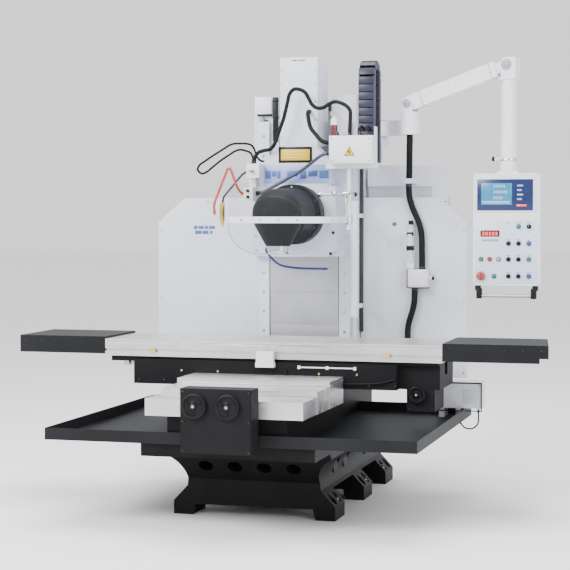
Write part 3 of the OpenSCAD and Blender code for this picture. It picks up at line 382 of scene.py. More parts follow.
# ---- cords, hoses and conduits ----
# Routes in millimetres, the same as the CAD's. The orange and blue ones are set point by point. The
# others come from corners, rounded off and spaced evenly, so they are not hand-chosen.
ROUTES = {
    "panel_a": ((634, 415, 1868), (635, 415, 1832), (637, 415, 1797), (644, 415, 1762),
        (655, 413, 1728), (669, 412, 1695), (684, 411, 1663), (698, 410, 1630), (708, 409, 1596),
        (715, 409, 1560), (717, 409, 1525), (718, 409, 1489), (718, 409, 1453), (719, 409, 1418),
        (719, 409, 1382), (720, 409, 1346)),
    "panel_b": ((676, 400, 1238), (675, 400, 1193), (673, 400, 1147), (664, 402, 1103),
        (651, 404, 1059), (638, 407, 1016), (632, 408, 971), (631, 408, 925), (631, 408, 880)),
    "tank": ((1095, 240, 522), (1095, 240, 505), (1095, 241, 488), (1095, 241, 471),
        (1095, 241, 454), (1091, 242, 438), (1082, 242, 424), (1069, 243, 413), (1054, 243, 406),
        (1037, 244, 405), (1020, 245, 408), (1005, 246, 416), (994, 247, 428), (987, 247, 443),
        (985, 248, 460)),
    "arm": ((652, 352, 2159), (652, 352, 2139), (652, 352, 2119), (651, 353, 2099),
        (650, 356, 2080), (649, 361, 2061), (647, 368, 2042), (645, 378, 2025), (643, 388, 2008),
        (641, 398, 1992), (639, 408, 1975), (637, 416, 1956), (636, 421, 1937), (635, 423, 1918),
        (634, 425, 1898)),
    "arch": ((-262, 130, 1985), (-256, 124, 2023), (-232, 117, 2053), (-195, 113, 2065),
        (-156, 110, 2073), (-129, 108, 2100), (-115, 108, 2137), (-101, 108, 2174),
        (-87, 108, 2211), (-73, 108, 2248), (-63, 108, 2286), (-53, 108, 2325), (-44, 108, 2363),
        (-34, 108, 2402), (-7, 108, 2429), (32, 108, 2427), (65, 108, 2407), (85, 108, 2373),
        (105, 108, 2338), (136, 107, 2316), (175, 105, 2317), (209, 103, 2336), (246, 99, 2350),
        (284, 93, 2343), (319, 86, 2326), (345, 78, 2298), (350, 71, 2260), (350, 64, 2221),
        (350, 57, 2182), (350, 50, 2143)),
    "short": ((66, 195, 2300), (68, 163, 2297), (73, 136, 2282), (80, 121, 2255),
        (87, 116, 2225), (99, 108, 2196), (118, 98, 2173), (139, 87, 2152), (160, 76, 2130),
        (185, 67, 2113), (216, 61, 2106), (247, 56, 2102)),
    "slate": ((247, 20, 2040), (204, 25, 2037), (167, 37, 2021), (133, 53, 2000), (99, 70, 1978),
        (66, 86, 1956), (30, 97, 1935), (-8, 100, 1915), (-46, 101, 1895), (-84, 102, 1874),
        (-122, 104, 1854), (-160, 102, 1834), (-198, 100, 1814), (-240, 96, 1806)),
    "loop": ((-212, 230, 2000), (-246, 223, 2007), (-265, 204, 2028), (-268, 180, 2054),
        (-271, 156, 2080), (-283, 131, 2101), (-308, 108, 2108), (-338, 88, 2108),
        (-368, 69, 2107), (-398, 56, 2096), (-427, 48, 2077), (-456, 41, 2058), (-486, 34, 2039),
        (-515, 29, 2020), (-544, 26, 2000), (-573, 23, 1980), (-586, 21, 1950), (-561, 24, 1927),
        (-529, 28, 1938), (-502, 32, 1960), (-474, 35, 1982), (-447, 40, 2004), (-420, 51, 2024),
        (-394, 66, 2043), (-368, 80, 2062), (-339, 99, 2071), (-312, 121, 2065),
        (-287, 141, 2052), (-276, 150, 2020), (-276, 150, 1985)),
    "orange": ((-300, 60, 1800), (-316, 20, 1815), (-326, -20, 1850), (-338, -45, 1900),
        (-352, -58, 1945), (-368, -62, 1950), (-388, -66, 1905), (-410, -70, 1850),
        (-432, -76, 1790), (-448, -82, 1740), (-446, -86, 1700)),
    "blue": ((-160, 150, 1480), (-162, 110, 1480), (-160, 60, 1478), (-152, 10, 1470),
        (-138, -16, 1452), (-112, -22, 1425), (-84, -24, 1398), (-48, -24, 1378), (0, -24, 1368),
        (60, -24, 1362), (120, -24, 1360), (180, -24, 1360), (215, -24, 1360)),
}


def ribbed(points, r, pitch, depth):
    """Centreline points and radii of a corrugated jacket."""
    total = path_length(points)
    count = int(total / pitch * 2)
    out, acc, i = [], 0.0, 0
    for k in range(count + 1):
        want = total * k / count
        while i < len(points) - 2 and acc + (points[i + 1] - points[i]).length < want:
            acc += (points[i + 1] - points[i]).length
            i += 1
        span = (points[i + 1] - points[i]).length
        out.append((points[i].lerp(points[i + 1], min(1, (want - acc) / span)), r - (depth if k % 2 else 0)))
    return out


def cord_mesh(name, route, diameter, mat, pitch=None, depth=0.8, n=14):
    """A hose as a mesh tube on a smooth curve; corrugated where a pitch is given."""
    line = smooth_path([Vector(p) for p in ROUTES[route]])
    rows = ribbed(line, diameter / 2, pitch, depth) if pitch else [(p, diameter / 2) for p in line]
    bm = bmesh.new()
    rings, side = [], None
    for i, (p, r) in enumerate(rows):
        t = (rows[min(i + 1, len(rows) - 1)][0] - rows[max(i - 1, 0)][0]).normalized()
        side = t.orthogonal().normalized() if side is None else (side - side.dot(t) * t).normalized()
        other = t.cross(side)
        rings.append([bm.verts.new((p + r * (math.cos(2 * math.pi * k / n) * side
                      + math.sin(2 * math.pi * k / n) * other)) * MM) for k in range(n)])
    for a, b in zip(rings, rings[1:]):
        for k in range(n):
            bm.faces.new([a[k], a[(k + 1) % n], b[(k + 1) % n], b[k]])
    bm.faces.new(rings[0])
    bm.faces.new(rings[-1])
    bmesh.ops.recalc_face_normals(bm, faces=bm.faces)
    mesh = bpy.data.meshes.new(name)
    bm.to_mesh(mesh)
    bm.free()
    mesh.materials.append(mat)
    mesh.shade_smooth()
    obj = bpy.data.objects.new(name, mesh)
    bpy.context.scene.collection.objects.link(obj)
    return obj, [p * MM for p in line]


def gland(part, p, axis, d):
    """A cable gland: a hexagon nut, a dome and a tapered sleeve."""
    part.hexagon(p, axis, 9, d * 0.95)
    part.lathe(p, axis, [(d * 0.85, 8), (d * 0.85, 15), (d * 0.7, 21), (d * 0.56, 30), (d * 0.51, 30)], 24)


CORDS = [("conduit_panel_upper", "panel_a", 38, RUBBER, 7, "root", ["panel_conduit"], "medium"),
         ("conduit_panel_lower", "panel_b", 38, RUBBER, 7, "root", ["panel_conduit"], "medium"),
         ("lead_lube_unit", "tank", 9, RUBBER, None, "root", ["tank_lead"], "medium"),
         ("hose_head_arch", "arch", 24, RUBBER, 8, "head", ["head_hoses"], "limp"),
         ("hose_head_short", "short", 26, RUBBER, 8, "head", ["head_hoses"], "limp"),
         ("cable_head_slate", "slate", 20, SLATE, None, "head", ["head_hoses"], "medium"),
         ("cable_head_loop", "loop", 13, RUBBER, None, "head", ["head_hoses"], "limp")]
for name, route, d, mat, pitch, body, nodes, stiff in CORDS:
    cord, line = cord_mesh(name, route, d, mat, pitch)
    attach(cord, body)
    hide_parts(*nodes)
    ends = Part()
    ends.use(DARK_STEEL if d > 20 else BLACK)
    first, last = [Vector(p) for p in (ROUTES[route][0], ROUTES[route][-1])]
    for p, q in ((first, line[1] / MM), (last, line[-2] / MM)):
        gland(ends, p, (q - p).normalized(), d * 0.62 if d > 20 else d * 0.8)
    fittings = ends.done(name + "_glands", body, "rubber_black")

# the arm's conduit bends between the cabinet and the first link
arm_conduit, line = cord_mesh("conduit_arm", "arm", 40, RUBBER, 8, 1.4, 20)
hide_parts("arm_conduit")
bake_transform(arm_conduit)


def segmented(name, route, r, mat, body, node):
    """A ball-jointed coolant hose of repeated segments with a tapered nozzle."""
    line = smooth_path([Vector(p) for p in ROUTES[route]], 8)
    total = path_length(line)
    part = Part().use(mat)
    count = int(total / (r * 1.75))
    acc, i = 0.0, 0
    for k in range(count):
        want = total * k / count
        while i < len(line) - 2 and acc + (line[i + 1] - line[i]).length < want:
            acc += (line[i + 1] - line[i]).length
            i += 1
        seg = line[i + 1] - line[i]
        p = line[i].lerp(line[i + 1], (want - acc) / seg.length)
        L = total / count * 1.04
        part.lathe(p, seg.normalized(), [(r * 0.72, 0), (r, L * 0.22), (r, L * 0.55), (r * 0.78, L * 0.8),
                                         (r * 0.72, L)], 14)
    tip = (line[-1] - line[-3]).normalized()
    part.lathe(line[-1] - tip * 2, tip, [(r * 1.15, 0), (r * 1.15, 8), (r * 0.5, 28), (r * 0.3, 28)], 18)
    part.use(BRASS)
    start = (line[2] - line[0]).normalized()
    part.hexagon(line[0] + start * 0.5, start, 12, r * 1.25)
    return part.done(name, body, node[1], [node[0]])


segmented("coolant_hose_orange", "orange", 8.5, ORANGE, "head", ("orange_nozzle", "hose_orange"))
segmented("coolant_hose_blue", "blue", 7.5, BLUE, "head", ("blue_nozzle", "hose_blue"))

# ---- materials of the CAD nodes ----
CAD_LOOKS = {
    BED: ["bed_base"],
    TRAY: ["chip_tray", "end_guards"],
    CHARCOAL: ["front_drive_box", "saddle", "swivel_body", "nose_body"],
    WHITE: ["column", "splash_panels", "cabinet", "cabinet_door", "motor_cover"],
    PALE: ["headstock", "head_cover"],
    ARM_WHITE: ["scale_housing", "lube_tank", "air_unit", "limit_switch_unit", "junction_box",
                "coolant_manifold",
                "arm_base", "arm_turret", "arm_beam", "arm_drop", "pendant_box"],
    MOTOR: ["z_drive_unit", "spindle_motor"],
    STEEL: ["levelling_screws", "feed_screws", "x_screw", "spindle"],
    COVER: ["fixed_way_covers", "y_cover_rear", "y_cover_mid"],
    Z_COVER: ["z_cover_top", "z_cover_mid"],
    TABLE: ["table"],
    YELLOW: ["trip_dogs"],
    CHAIN: ["cable_chain"],
    PHENOLIC: ["side_handwheel", "handwheel_left", "handwheel_right"],
    ALU: ["pendant_handle"],
    RED: ["e_stop", "stop_button"],
    GREEN: ["start_button"],
    BLACK: ["jog_x_minus", "jog_x_plus", "jog_y_minus", "jog_y_plus", "selector_knob"],
    TEAL: ["jog_rapid"],
    BUTTON_BLUE: ["jog_feed"],
    CLEAR: ["spindle_guard"],
    RUBBER: ["panel_conduit", "tank_lead", "arm_conduit", "head_hoses"],
    ORANGE: ["orange_nozzle"],
    BLUE: ["blue_nozzle"],
}
for mat, names in CAD_LOOKS.items():
    for name in names:
        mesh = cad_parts[name].data
        for i in range(max(1, len(mesh.materials))):
            if i < len(mesh.materials):
                mesh.materials[i] = mat
            else:
                mesh.materials.append(mat)

# ---- spindle guard: rail, clear screen, hinges ----
POST = (349, 45)


def turn(c, r, a0, a1, n=8):
    return [(c[0] + r * math.cos(math.radians(a0 + (a1 - a0) * k / n)),
             c[1] + r * math.sin(math.radians(a0 + (a1 - a0) * k / n))) for k in range(n + 1)]


plan = [(349, -20), (349, -120), (349, -220), (349, -320)] + turn((279, -430), 70, 0, -90)
plan += [(x, -500) for x in range(265, -175, -15)]
plan += turn((-175, -430), 70, -90, -180) + [(-245, -340), (-245, -250)]
CORNER_R = 200
CORNER_Z = 1655
CORNER_LEFT = -45
CORNER_RIGHT = 150



def screen_foot(x, y):
    """Height of the screen's lower edge: level from CORNER_LEFT to CORNER_RIGHT, and rounded beyond."""
    beyond = max(CORNER_LEFT - x, x - CORNER_RIGHT, 0)
    return CORNER_Z - math.sqrt(max(0, CORNER_R ** 2 - beyond ** 2))


guard = Part().use(CLEAR)
guard.wall(plan, 4, screen_foot, lambda x, y: 1860)
guard.done("guard_screen", "spindle_guard", "guard_clear", ["spindle_guard"])
rail = Part().use(GREY)
rail.tube([(x, y, screen_foot(x, y) + 2) for x, y in plan[3:]], 3.2, 8)
rail.use(ARM_WHITE)
rail.wall(plan, 11.6, lambda x, y: 1632, lambda x, y: 1668)
rail.use(ALU)
for z in (1624, 1760):
    rail.lathe((*POST, z), "z", [(12.1, 0), (20, 0), (22, 2), (22, 50), (20, 52), (12.1, 52)], 28)
    rail.box((342, 356), (-26, 28), (z + 16, z + 36), 1.5)
rail.box((343, 355), (-26, -8), (1640, 1796), 2)
rail.use(STEEL)
for x in (-150, -40, 70, 180):
    rail.socket_screw((x, -505.6, 1650), (0, -1, 0), 6, 5)
for y in (-380, -200, -60):
    rail.socket_screw((354.6, y, 1650), "x", 6, 5)
rail.done("guard_rail", "spindle_guard", "alu", ["spindle_guard"])

# ---- energy chain ----
chain = Part().use(CHAIN)
CHAIN_X = (392, 487)
RUN, BEND_Z, BEND_Y, MID_R = 506, 2496, 196, 75
whole = 2 * RUN + math.pi * MID_R
LINKS = 27
pitch = whole / LINKS
for k in range(LINKS):
    s = (k + 0.5) * pitch
    if s < RUN:
        y, z, a = BEND_Y - MID_R, BEND_Z - RUN + s, 0
    elif s < RUN + math.pi * MID_R:
        a = (s - RUN) / MID_R
        y, z = BEND_Y - MID_R * math.cos(a), BEND_Z + MID_R * math.sin(a)
    else:
        a, y, z = math.pi, BEND_Y + MID_R, BEND_Z - (s - RUN - math.pi * MID_R)
    chain.matrix = Matrix.Translation((0, y, z)) @ Matrix.Rotation(-a, 4, "X")
    half = pitch * 0.5
    on_bend = 0 < a < math.pi
    for x0, x1 in ((CHAIN_X[0], CHAIN_X[0] + 6), (CHAIN_X[1] - 6, CHAIN_X[1])):
        chain.box((x0, x1), (-23, 23), (-half + (3 if on_bend else -2), half - (3 if on_bend else -2)), 2)
    for y0, y1 in ((-24, -19), (19, 24)):
        chain.box((CHAIN_X[0] + 4, CHAIN_X[1] - 4), (y0, y1), (-half * 0.93, half * 0.87), 1.5)
    chain.box((CHAIN_X[0] + 44, CHAIN_X[0] + 47), (-19, 19), (-half * 0.5, half * 0.3), 0.8)
chain.matrix = Matrix.Identity(4)
chain.done("energy_chain_links", "cable_chain", "chain_navy", ["cable_chain"])
inner = Part().use(RUBBER)
for x, r in ((410, 9), (424, 6), (452, 10), (470, 7)):
    bend = [(x, BEND_Y - MID_R * math.cos(a), BEND_Z + MID_R * math.sin(a))
            for a in (t * math.pi / 16 for t in range(17))]
    pts = [(x, BEND_Y - MID_R, BEND_Z - RUN + 4)] + bend + [(x, BEND_Y + MID_R, BEND_Z - RUN + 4)]
    inner.tube(pts, r, 10)
inner.done("energy_chain_cables", "cable_chain", "rubber_black")

# ---- head ----
head = Part().use(BAND)
y0 = 148
head.box((-206, 208), (y0 - 2, y0 + 0.5), (1866, 1980), 0.8)
head.use(MARK)
for k, (x, w) in enumerate(((-196, 34), (-156, 30), (-122, 22), (-60, 70), (20, 40), (74, 56), (142, 58))):
    head.box((x, x + w), (y0 - 3, y0 - 1), (1908 if k % 2 else 1896, 1944), 0.6)
head.use(BLACK).box((-112, 96), (y0 - 3, y0 + 0.5), (1991, 2087), 2)
head.use(SIGN).box((-98, 82), (y0 - 3.8, y0 - 2), (2006, 2072), 1)
head.use(YELLOW)
for z in (2024, 2040, 2056):
    head.box((-78, 62), (y0 - 4.4, y0 - 3.6), (z - 2, z + 2), 0.3)
head.use(STEEL)
for x, z in ((-198, 1858), (198, 1858), (-198, 1986), (198, 1986)):
    head.socket_screw((x, y0 + 0.5, z), (0, -1, 0), 5, 4)
head.done("head_cover_plates", "head", "machine_white")

bolts = Part().use(DARK_STEEL)
for x, z in ((226, 1810), (226, 1570), (210, 1445), (-60, 1445), (-226, 1570)):
    bolts.socket_screw((x, 159.5, z), (0, -1, 0), 9, 9)
bolts.use(STEEL)
for s in (-1, 1):
    for z in range(1460, 1980, 85):
        bolts.socket_screw((s * 290, 262, z), (0, -1, 0), 7, 6)
bolts.done("head_bolts", "head", "bright_steel")

seams = Part().use(ARM_WHITE)
seams.box((-119, 119), (193, 462), (2570, 2576), 1.5)
seams.box((-119, 119), (193, 462), (2100, 2108), 1.5)
seams.use(STEEL)
for z in (2140, 2250, 2360, 2470, 2550):
    for s in (-1, 1):
        seams.socket_screw((s * 104, 195, z), (0, -1, 0), 4.5, 3.5)
        for y in (220, 430):
            seams.socket_screw((s * 117, y, z), (s, 0, 0), 4.5, 3.5)
seams.use(RED).box((-42, -14), (193.2, 195.5), (2606, 2613), 0.5)
seams.use(MARK).box((-8, 40), (193.2, 195.5), (2606, 2613), 0.5)
seams.done("motor_cover_trim", "head", "arm_white")

box = Part().use(ARM_WHITE)
box.box((254, 499), (-39, -34.8), (1987, 2136), 2)
box.use(STEEL)
for x in (264, 489):
    for z in (1997, 2126):
        box.socket_screw((x, -39, z), (0, -1, 0), 5, 3.5)
box.use(BLACK).plate([(338, 2024), (402, 2024), (370, 2080)], -40.2, -38.8, bevel=0.3)
box.use(SIGN).plate([(344, 2028), (396, 2028), (370, 2073)], -41, -40, bevel=0.3)
box.use(BLACK).plate([(364, 2055), (374, 2062), (370, 2047), (377, 2047), (367, 2032), (369, 2043),
                      (363, 2043)],
                     -41.6, -40.8, bevel=0)
box.use(STEEL)
for z in (1590, 1953):
    box.lathe((349, 45, z), "z", [(12, 0), (17, 0), (17, -4), (12, -4)] if z > 1800 else
              [(0, -1), (18, -1), (20, 1), (20, 3), (12, 3)], 24)
box.use(DARK_STEEL)
for x in (282, 420, 460):
    box.lathe((x, 20, 2143), "z", [(14, 0), (14, 8), (11, 16), (8, 26), (0, 26)], 20)
box.use(MAROON)
box.lathe((262, 30, 2143), "z", [(16, 0), (19, 2), (19, 62), (16, 66), (0, 66)], 28)
box.use(ARM_WHITE)
box.lathe((262, 30, 2208), "z", [(21, 0), (21, 34), (17, 38), (8, 40), (8, 52), (0, 52)], 28)
box.use(STEEL)
box.box((318, 380), (14, 76), (1786, 1812), 3)
box.tube([(340, 14, 1799), (340, 2, 1799), (332, -6, 1799), (300, -8, 1799), (196, -8, 1799)], 8, 14)
box.lathe((204, -8, 1799), (-1, 0, 0), [(8, 0), (15, 2), (16, 6), (16, 24), (13, 30), (0, 30)], 24)
box.box((268, 292), (-20, 4), (1784, 1814), 3)
box.use(BLACK).lathe((370, 76, 1799), "y", [(7, 0), (7, 10), (14, 12), (16, 20), (12, 26), (0, 26)], 20)
box.use(RUBBER)
for x in (420, 460):
    box.tube([(x, 20, 2160), (x, 24, 2188), (x, 60, 2200), (x + 4, 96, 2190), (x + 4, 112, 2160)], 7)
box.done("junction_box_trim", "head", "arm_white")

manifold = Part().use(ARM_WHITE)
manifold.box((-296, -244), (26, 31), (1766, 1840), 2)
manifold.use(BRASS)
for y in (80, 130):
    manifold.hexagon((-318, y, 1800), (-1, 0, 0), 12, 11)
    manifold.cyl((-330, y, 1800), (-1, 0, 0), 14, 6)
manifold.use(BLACK)
for z in (1785, 1822):
    manifold.lathe((-270, 26, z), (0, -1, 0), [(10, 0), (10, 10), (8, 13), (0, 13)], 20)
manifold.use(BRASS)
manifold.cyl((-252, 60, 1940), (0, -1, 0), 22, 9)
manifold.use(RED).box((-272, -232), (30, 38), (1936, 1944), 3)
manifold.use(DARK_STEEL)
manifold.tube([(-288, 150, 1945), (-312, 149, 1941), (-340, 145, 1924), (-372, 138, 1888), (-402, 130, 1848),
               (-432, 120, 1812), (-452, 113, 1784), (-459, 110, 1742)], 6.5, 12)
manifold.hexagon((-289, 150, 1945), (-1, 0, 0), 12, 10)
manifold.use(BRASS)
manifold.lathe((-459, 110, 1750), (0, 0, -1),
               [(8, 0), (15, 5), (16, 12), (16, 96), (10, 122), (6, 142), (0, 142)], 24)
manifold.done("manifold_trim", "head", "arm_white")

# ---- universal head: bolts and tilt scale ----
swivel = Part().use(STEEL)
for a in range(30, 390, 60):
    x, z = 164 * math.cos(math.radians(a)), 1680 + 164 * math.sin(math.radians(a))
    swivel.hexagon((x, 44, z), (0, -1, 0), 12, 7.5)
swivel.lathe((0, 120, 1680), "y", [(180.2, 0), (181.2, 1), (181.2, 24), (180.2, 25)], 96)
swivel.use(BLACK)
for k in range(-30, 31):
    a = math.radians(90 + 3 * k)
    tall = 16 if k % 5 == 0 else 9
    x, z = 181.3 * math.cos(a), 1680 + 181.3 * math.sin(a)
    swivel.matrix = Matrix.Translation((x, 121, z)) @ Matrix.Rotation(math.pi / 2 - a, 4, "Y")
    swivel.box((-0.5, 0.5), (0, tall), (-0.4, 0.3), 0)
swivel.matrix = Matrix.Identity(4)
swivel.done("swivel_bolts_and_scale", "swivel_body", "bright_steel")

# ---- spindle nose ring ----
nose = Part().use(STEEL)
nose.lathe((0, -265, 1497), "z", [(66, -3), (69, -3), (70.5, -1), (70.5, 1), (66, 1)], 64)
nose.use(DARK_STEEL).lathe((0, -265, 1680), (0, -1, -1),
                           [(148.8, 0.6), (150.8, 0.6), (150.8, 5), (148.8, 5)], 96)
nose.done("nose_ring", "nose_body", "bright_steel")

# ---- pendant ----
PX = 1279.2
FRONT = 60
COLS = (-146, -95, -43, 14, 72, 132)
ROWS = (1611, 1513, 1421, 1323)
panel = Part().use(FACE)
panel.box((PX - 182, PX + 182), (FRONT - 1.6, FRONT + 0.2), (1690, 1908), 1)
panel.box((PX - 182, PX + 182), (FRONT - 1.6, FRONT + 0.2), (1280, 1652), 1)
panel.use(SCREEN).box((PX - 170, PX + 154), (FRONT - 2.4, FRONT - 0.5), (1703, 1884), 0.8)
panel.use(READOUT)
panel.box((PX - 146, PX + 32), (FRONT - 3, FRONT - 2), (1736, 1862), 1)
panel.use(BAND)
for k, w in enumerate((58, 74, 46)):
    for x in range(0, w, 14):
        panel.box((PX - 74 + x, PX - 64 + x), (FRONT - 3.6, FRONT - 2.8), (1836 - k * 34, 1852 - k * 34), 0.3)
for k in range(4):
    panel.box((PX + 62, PX + 96 - 7 * (k % 2)), (FRONT - 3, FRONT - 2), (1842 - k * 26, 1852 - k * 26), 0.3)
panel.box((PX - 140, PX + 20), (FRONT - 3.6, FRONT - 2.8), (1744, 1758), 0.4)
panel.use(LED).box((PX + 60, PX + 116), (FRONT - 3, FRONT - 2), (1728, 1738), 0.3)
panel.use(LED_BACK).box((PX - 150, PX - 38), (FRONT - 2.6, FRONT - 0.5), (1551, 1589), 1)
panel.use(LED)
for k in range(5):
    panel.box((PX - 138 + k * 19, PX - 126 + k * 19), (FRONT - 3.2, FRONT - 2.2), (1560, 1580), 0.4)
panel.use(GREY).box((PX - 142, PX - 42), (FRONT - 2.4, FRONT - 1), (1524, 1538), 0.6)
panel.use(STEEL)
for x in (-186, 186):
    for z in (1276, 1590, 1910):
        panel.socket_screw((PX + x, FRONT, z), (0, -1, 0), 3.5, 3)
panel.use(BLACK)
RINGS = [(COLS[5], ROWS[0], 14)] + [(COLS[i], ROWS[r], 14) for r in (2, 3) for i in (3, 4, 5)]
RINGS += [(COLS[0], ROWS[2], 14), (COLS[1], ROWS[2], 14)]
for x, z, r in RINGS:
    panel.lathe((PX + x, FRONT - 1, z), (0, -1, 0),
                [(r, 0), (r, 2), (r - 1.5, 3.2), (11.3, 3.2), (11.3, 0)], 28)
panel.use(GREY).lathe((PX + COLS[0], FRONT - 1, ROWS[3]), (0, -1, 0),
                      [(28, 0), (28, 1.2), (20.5, 1.2), (20.5, 0)], 36)
LAMPS = [(COLS[4], ROWS[0], TEAL), (COLS[2], ROWS[2], GREY), (-69, ROWS[3], TEAL), (COLS[3], ROWS[1], BLACK),
         (COLS[4], ROWS[1], BLACK), (COLS[5], ROWS[1], BUTTON_BLUE)]
for x, z, mat in LAMPS:
    panel.use(mat).lathe((PX + x, FRONT - 8, z), (0, -1, 0), [(11, 0), (10.5, 2.5), (7, 4.5), (0, 5.2)], 24)
    panel.use(BLACK).lathe((PX + x, FRONT - 1, z), (0, -1, 0),
                           [(14, 0), (14, 4), (12, 6), (11.1, 6), (11.1, 0)], 24)
panel.use(BLACK)
for x, z in [(c, r) for r in ROWS[:1] for c in COLS[3:]] + [(c, r) for r in ROWS[1:] for c in COLS[3:]]:
    panel.box((PX + x - 12, PX + x + 12), (FRONT - 2.2, FRONT - 1), (z + 19, z + 22), 0.2)
panel.done("pendant_face", "pendant", "arm_white")

mushroom = Part().use(RED)
mushroom.lathe((PX + COLS[0], FRONT - 14, ROWS[3]), (0, -1, 0),
               [(12, -4), (20.5, -2), (21.5, 2), (21, 6), (17, 9.5), (9, 11.5), (0, 12)], 40)
mushroom.done("e_stop_cap", "e_stop", "button_red")
mark = Part().use(SIGN)
mark.box((PX + COLS[5] - 1, PX + COLS[5] + 1), (FRONT - 24.6, FRONT - 23.8), (ROWS[0] - 2, ROWS[0] + 10), 0.2)
mark.done("selector_mark", "selector_knob", "button_black")

rim = Part().use(ARM_WHITE)
rim.box((PX - 192.5, PX + 192.5), (FRONT - 1, FRONT + 9), (1908, 1917), 2)
rim.use(BLACK)
for s in (-1, 1):
    rim.box((PX + s * 158 - 16, PX + s * 158 + 16), (FRONT + 2, FRONT + 38), (1192, 1252), 4)
    rim.box((PX + s * 166 - 15.5, PX + s * 166 + 15.5), (FRONT + 6, FRONT + 50), (1239, 1269), 3)
rim.done("pendant_trim", "pendant", "arm_white")

# ---- pendant arm ----
A = Vector((425, 560))
caps = Part().use(GREY)
caps.lathe((*A, 2256), "z", [(20, -3), (34, -3), (34, 4), (28, 9), (0, 10)], 32)
caps.use(STEEL)
for k in range(6):
    t = math.radians(60 * k)
    caps.socket_screw((A.x + 44 * math.cos(t), A.y + 44 * math.sin(t), 2250), "z", 4.5, 4)
caps.done("link_cap", "arm_base", "arm_white")
yaw = math.radians(-16)
joint_caps = Part().use(GREY)
joint_caps.matrix = Matrix.Translation((660, 330, 2345)) @ Matrix.Rotation(yaw, 4, "Z")
for s in (-1, 1):
    joint_caps.lathe((0, s * 47, 0), (0, s, 0), [(26, -1), (26, 3), (20, 6), (0, 7)], 32)
joint_caps.done("turret_caps", "arm_turret", "arm_white")
elbow_caps = Part().use(GREY)
elbow_caps.matrix = Matrix.Translation((1275.21, 153.59, 2550)) @ Matrix.Rotation(yaw, 4, "Z")
for s in (-1, 1):
    elbow_caps.lathe((0, s * 34, 0), (0, s, 0), [(32, -1), (32, 3), (24, 6), (0, 7)], 32)
elbow_caps.matrix = Matrix.Identity(4)
elbow_caps.use(ALU)
elbow_caps.lathe((1279.2, 153.59, 1990), "z", [(22.2, 0), (48, 0), (49, 2), (49, 14), (46.5, 18)], 36)
elbow_caps.use(BLACK).lathe((1193.2, 153.59, 2004), (-1, 0, 0),
                            [(5, -6), (13, -4), (15, 4), (12, 12), (0, 15)], 24)
elbow_caps.done("elbow_caps", "arm_drop", "arm_white")
pitch_a = math.atan2(205, 640)
cover = Part().use(GREY)
cover.matrix = (Matrix.Translation((660, 330, 2345)) @ Matrix.Rotation(yaw, 4, "Z")
                @ Matrix.Rotation(-pitch_a, 4, "Y"))
for x in (90, 560):
    cover.box((x, x + 6), (-35, 35), (-46, 46), 1.5)
cover.use(STEEL)
for x in (130, 330, 530):
    for s in (-1, 1):
        cover.socket_screw((x, s * 34, 0), (0, s, 0), 4, 3)
cover.done("beam_trim", "arm_beam", "arm_white")

# ---- way covers: wipers and rivets ----
def cover_trim(name, body, hw, front, top, low, rows):
    """A cover's wiper and rivets; side rivets stay off the faces that the next cover slides over."""
    part = Part().use(COVER)
    part.box((-hw + 4, hw - 4), (front - 2.5, front + 0.5), (low + 1, low + 6), 1)
    part.use(STEEL)
    for k in range(9):
        x = -hw + 40 + k * (2 * hw - 80) / 8
        part.lathe((x, front + 18, top), "z", [(5, -0.5), (5, 0.8), (3, 2), (0, 2.2)], 16)
    for s in (-1, 1):
        for y in rows:
            part.lathe((s * hw, y, top - 22), (s, 0, 0), [(5, -0.5), (5, 0.8), (3, 2), (0, 2.2)], 16)
    part.done(name, body, "cover_steel")


cover_trim("front_cover_trim", "root", 433, -1317, 712, 690, (-1292,))
cover_trim("mid_cover_trim", "y_cover_mid", 436.7, -1040, 740, 713, (-1015,))
cover_trim("rear_cover_trim", "saddle", 440, -780, 768, 741, (-755, -625, -495))

# ---- table: edge rule, coolant groove screws and end guard screws ----
table = Part().use(STEEL)
table.box((-990, 990), (-456.4, -454.6), (930, 942), 0.4)
table.use(BLACK)
for k in range(-24, 25):
    tall = 8 if k % 5 == 0 else 4
    table.box((k * 40 - 0.5, k * 40 + 0.5), (-456.8, -456), (942 - tall - 1, 941), 0)
table.use(DARK_STEEL)
for s in (-1, 1):
    for y in (-380, -205, -30):
        table.socket_screw((s * 1003, y, 906) if s < 0 else (1003, y, 906), (s, 0, 0), 6, 2)
table.done("table_rule", "table", "table_iron")
guards = Part().use(DARK_STEEL)
for x0, x1 in ((-1541, -1000), (1000, 1588)):
    for k in range(6):
        x = x0 + 40 + k * (x1 - x0 - 80) / 5
        guards.socket_screw((x, -455, 935), (0, -1, 0), 4.5, 3)
guards.done("end_guard_screws", "table", "dark_grey")

# ---- saddle and drive boxes ----
saddle = Part().use(DARK_STEEL)
for x in list(range(-780, 741, 152)):
    saddle.socket_screw((x, -470, 722), (0, -1, 0), 7, 6)
for x in (805, 935):
    for z in (590, 686):
        saddle.socket_screw((x, -400, z), (0, -1, 0), 5, 4)
saddle.use(BRASS)
for x in (-520, -300, 300, 520):
    saddle.hexagon((x, -470, 780), (0, -1, 0), 8, 7)
saddle.use(RUBBER)
saddle.tube(smooth_path([(100, -474, 800), (120, -486, 760), (200, -490, 735), (420, -488, 728),
                         (640, -486, 736),
                         (735, -476, 760)]), 5)
saddle.done("saddle_fittings", "saddle", "bright_steel")
drive = Part().use(CHARCOAL)
drive.box((-184, 192), (-1458, -1454), (451, 781), 2)
drive.use(DARK_STEEL)
for x in (-174, 182):
    for z in (462, 616, 770):
        drive.socket_screw((x, -1458, z), (0, -1, 0), 5, 3.5)
drive.done("drive_box_cover", "root", "dark_grey")

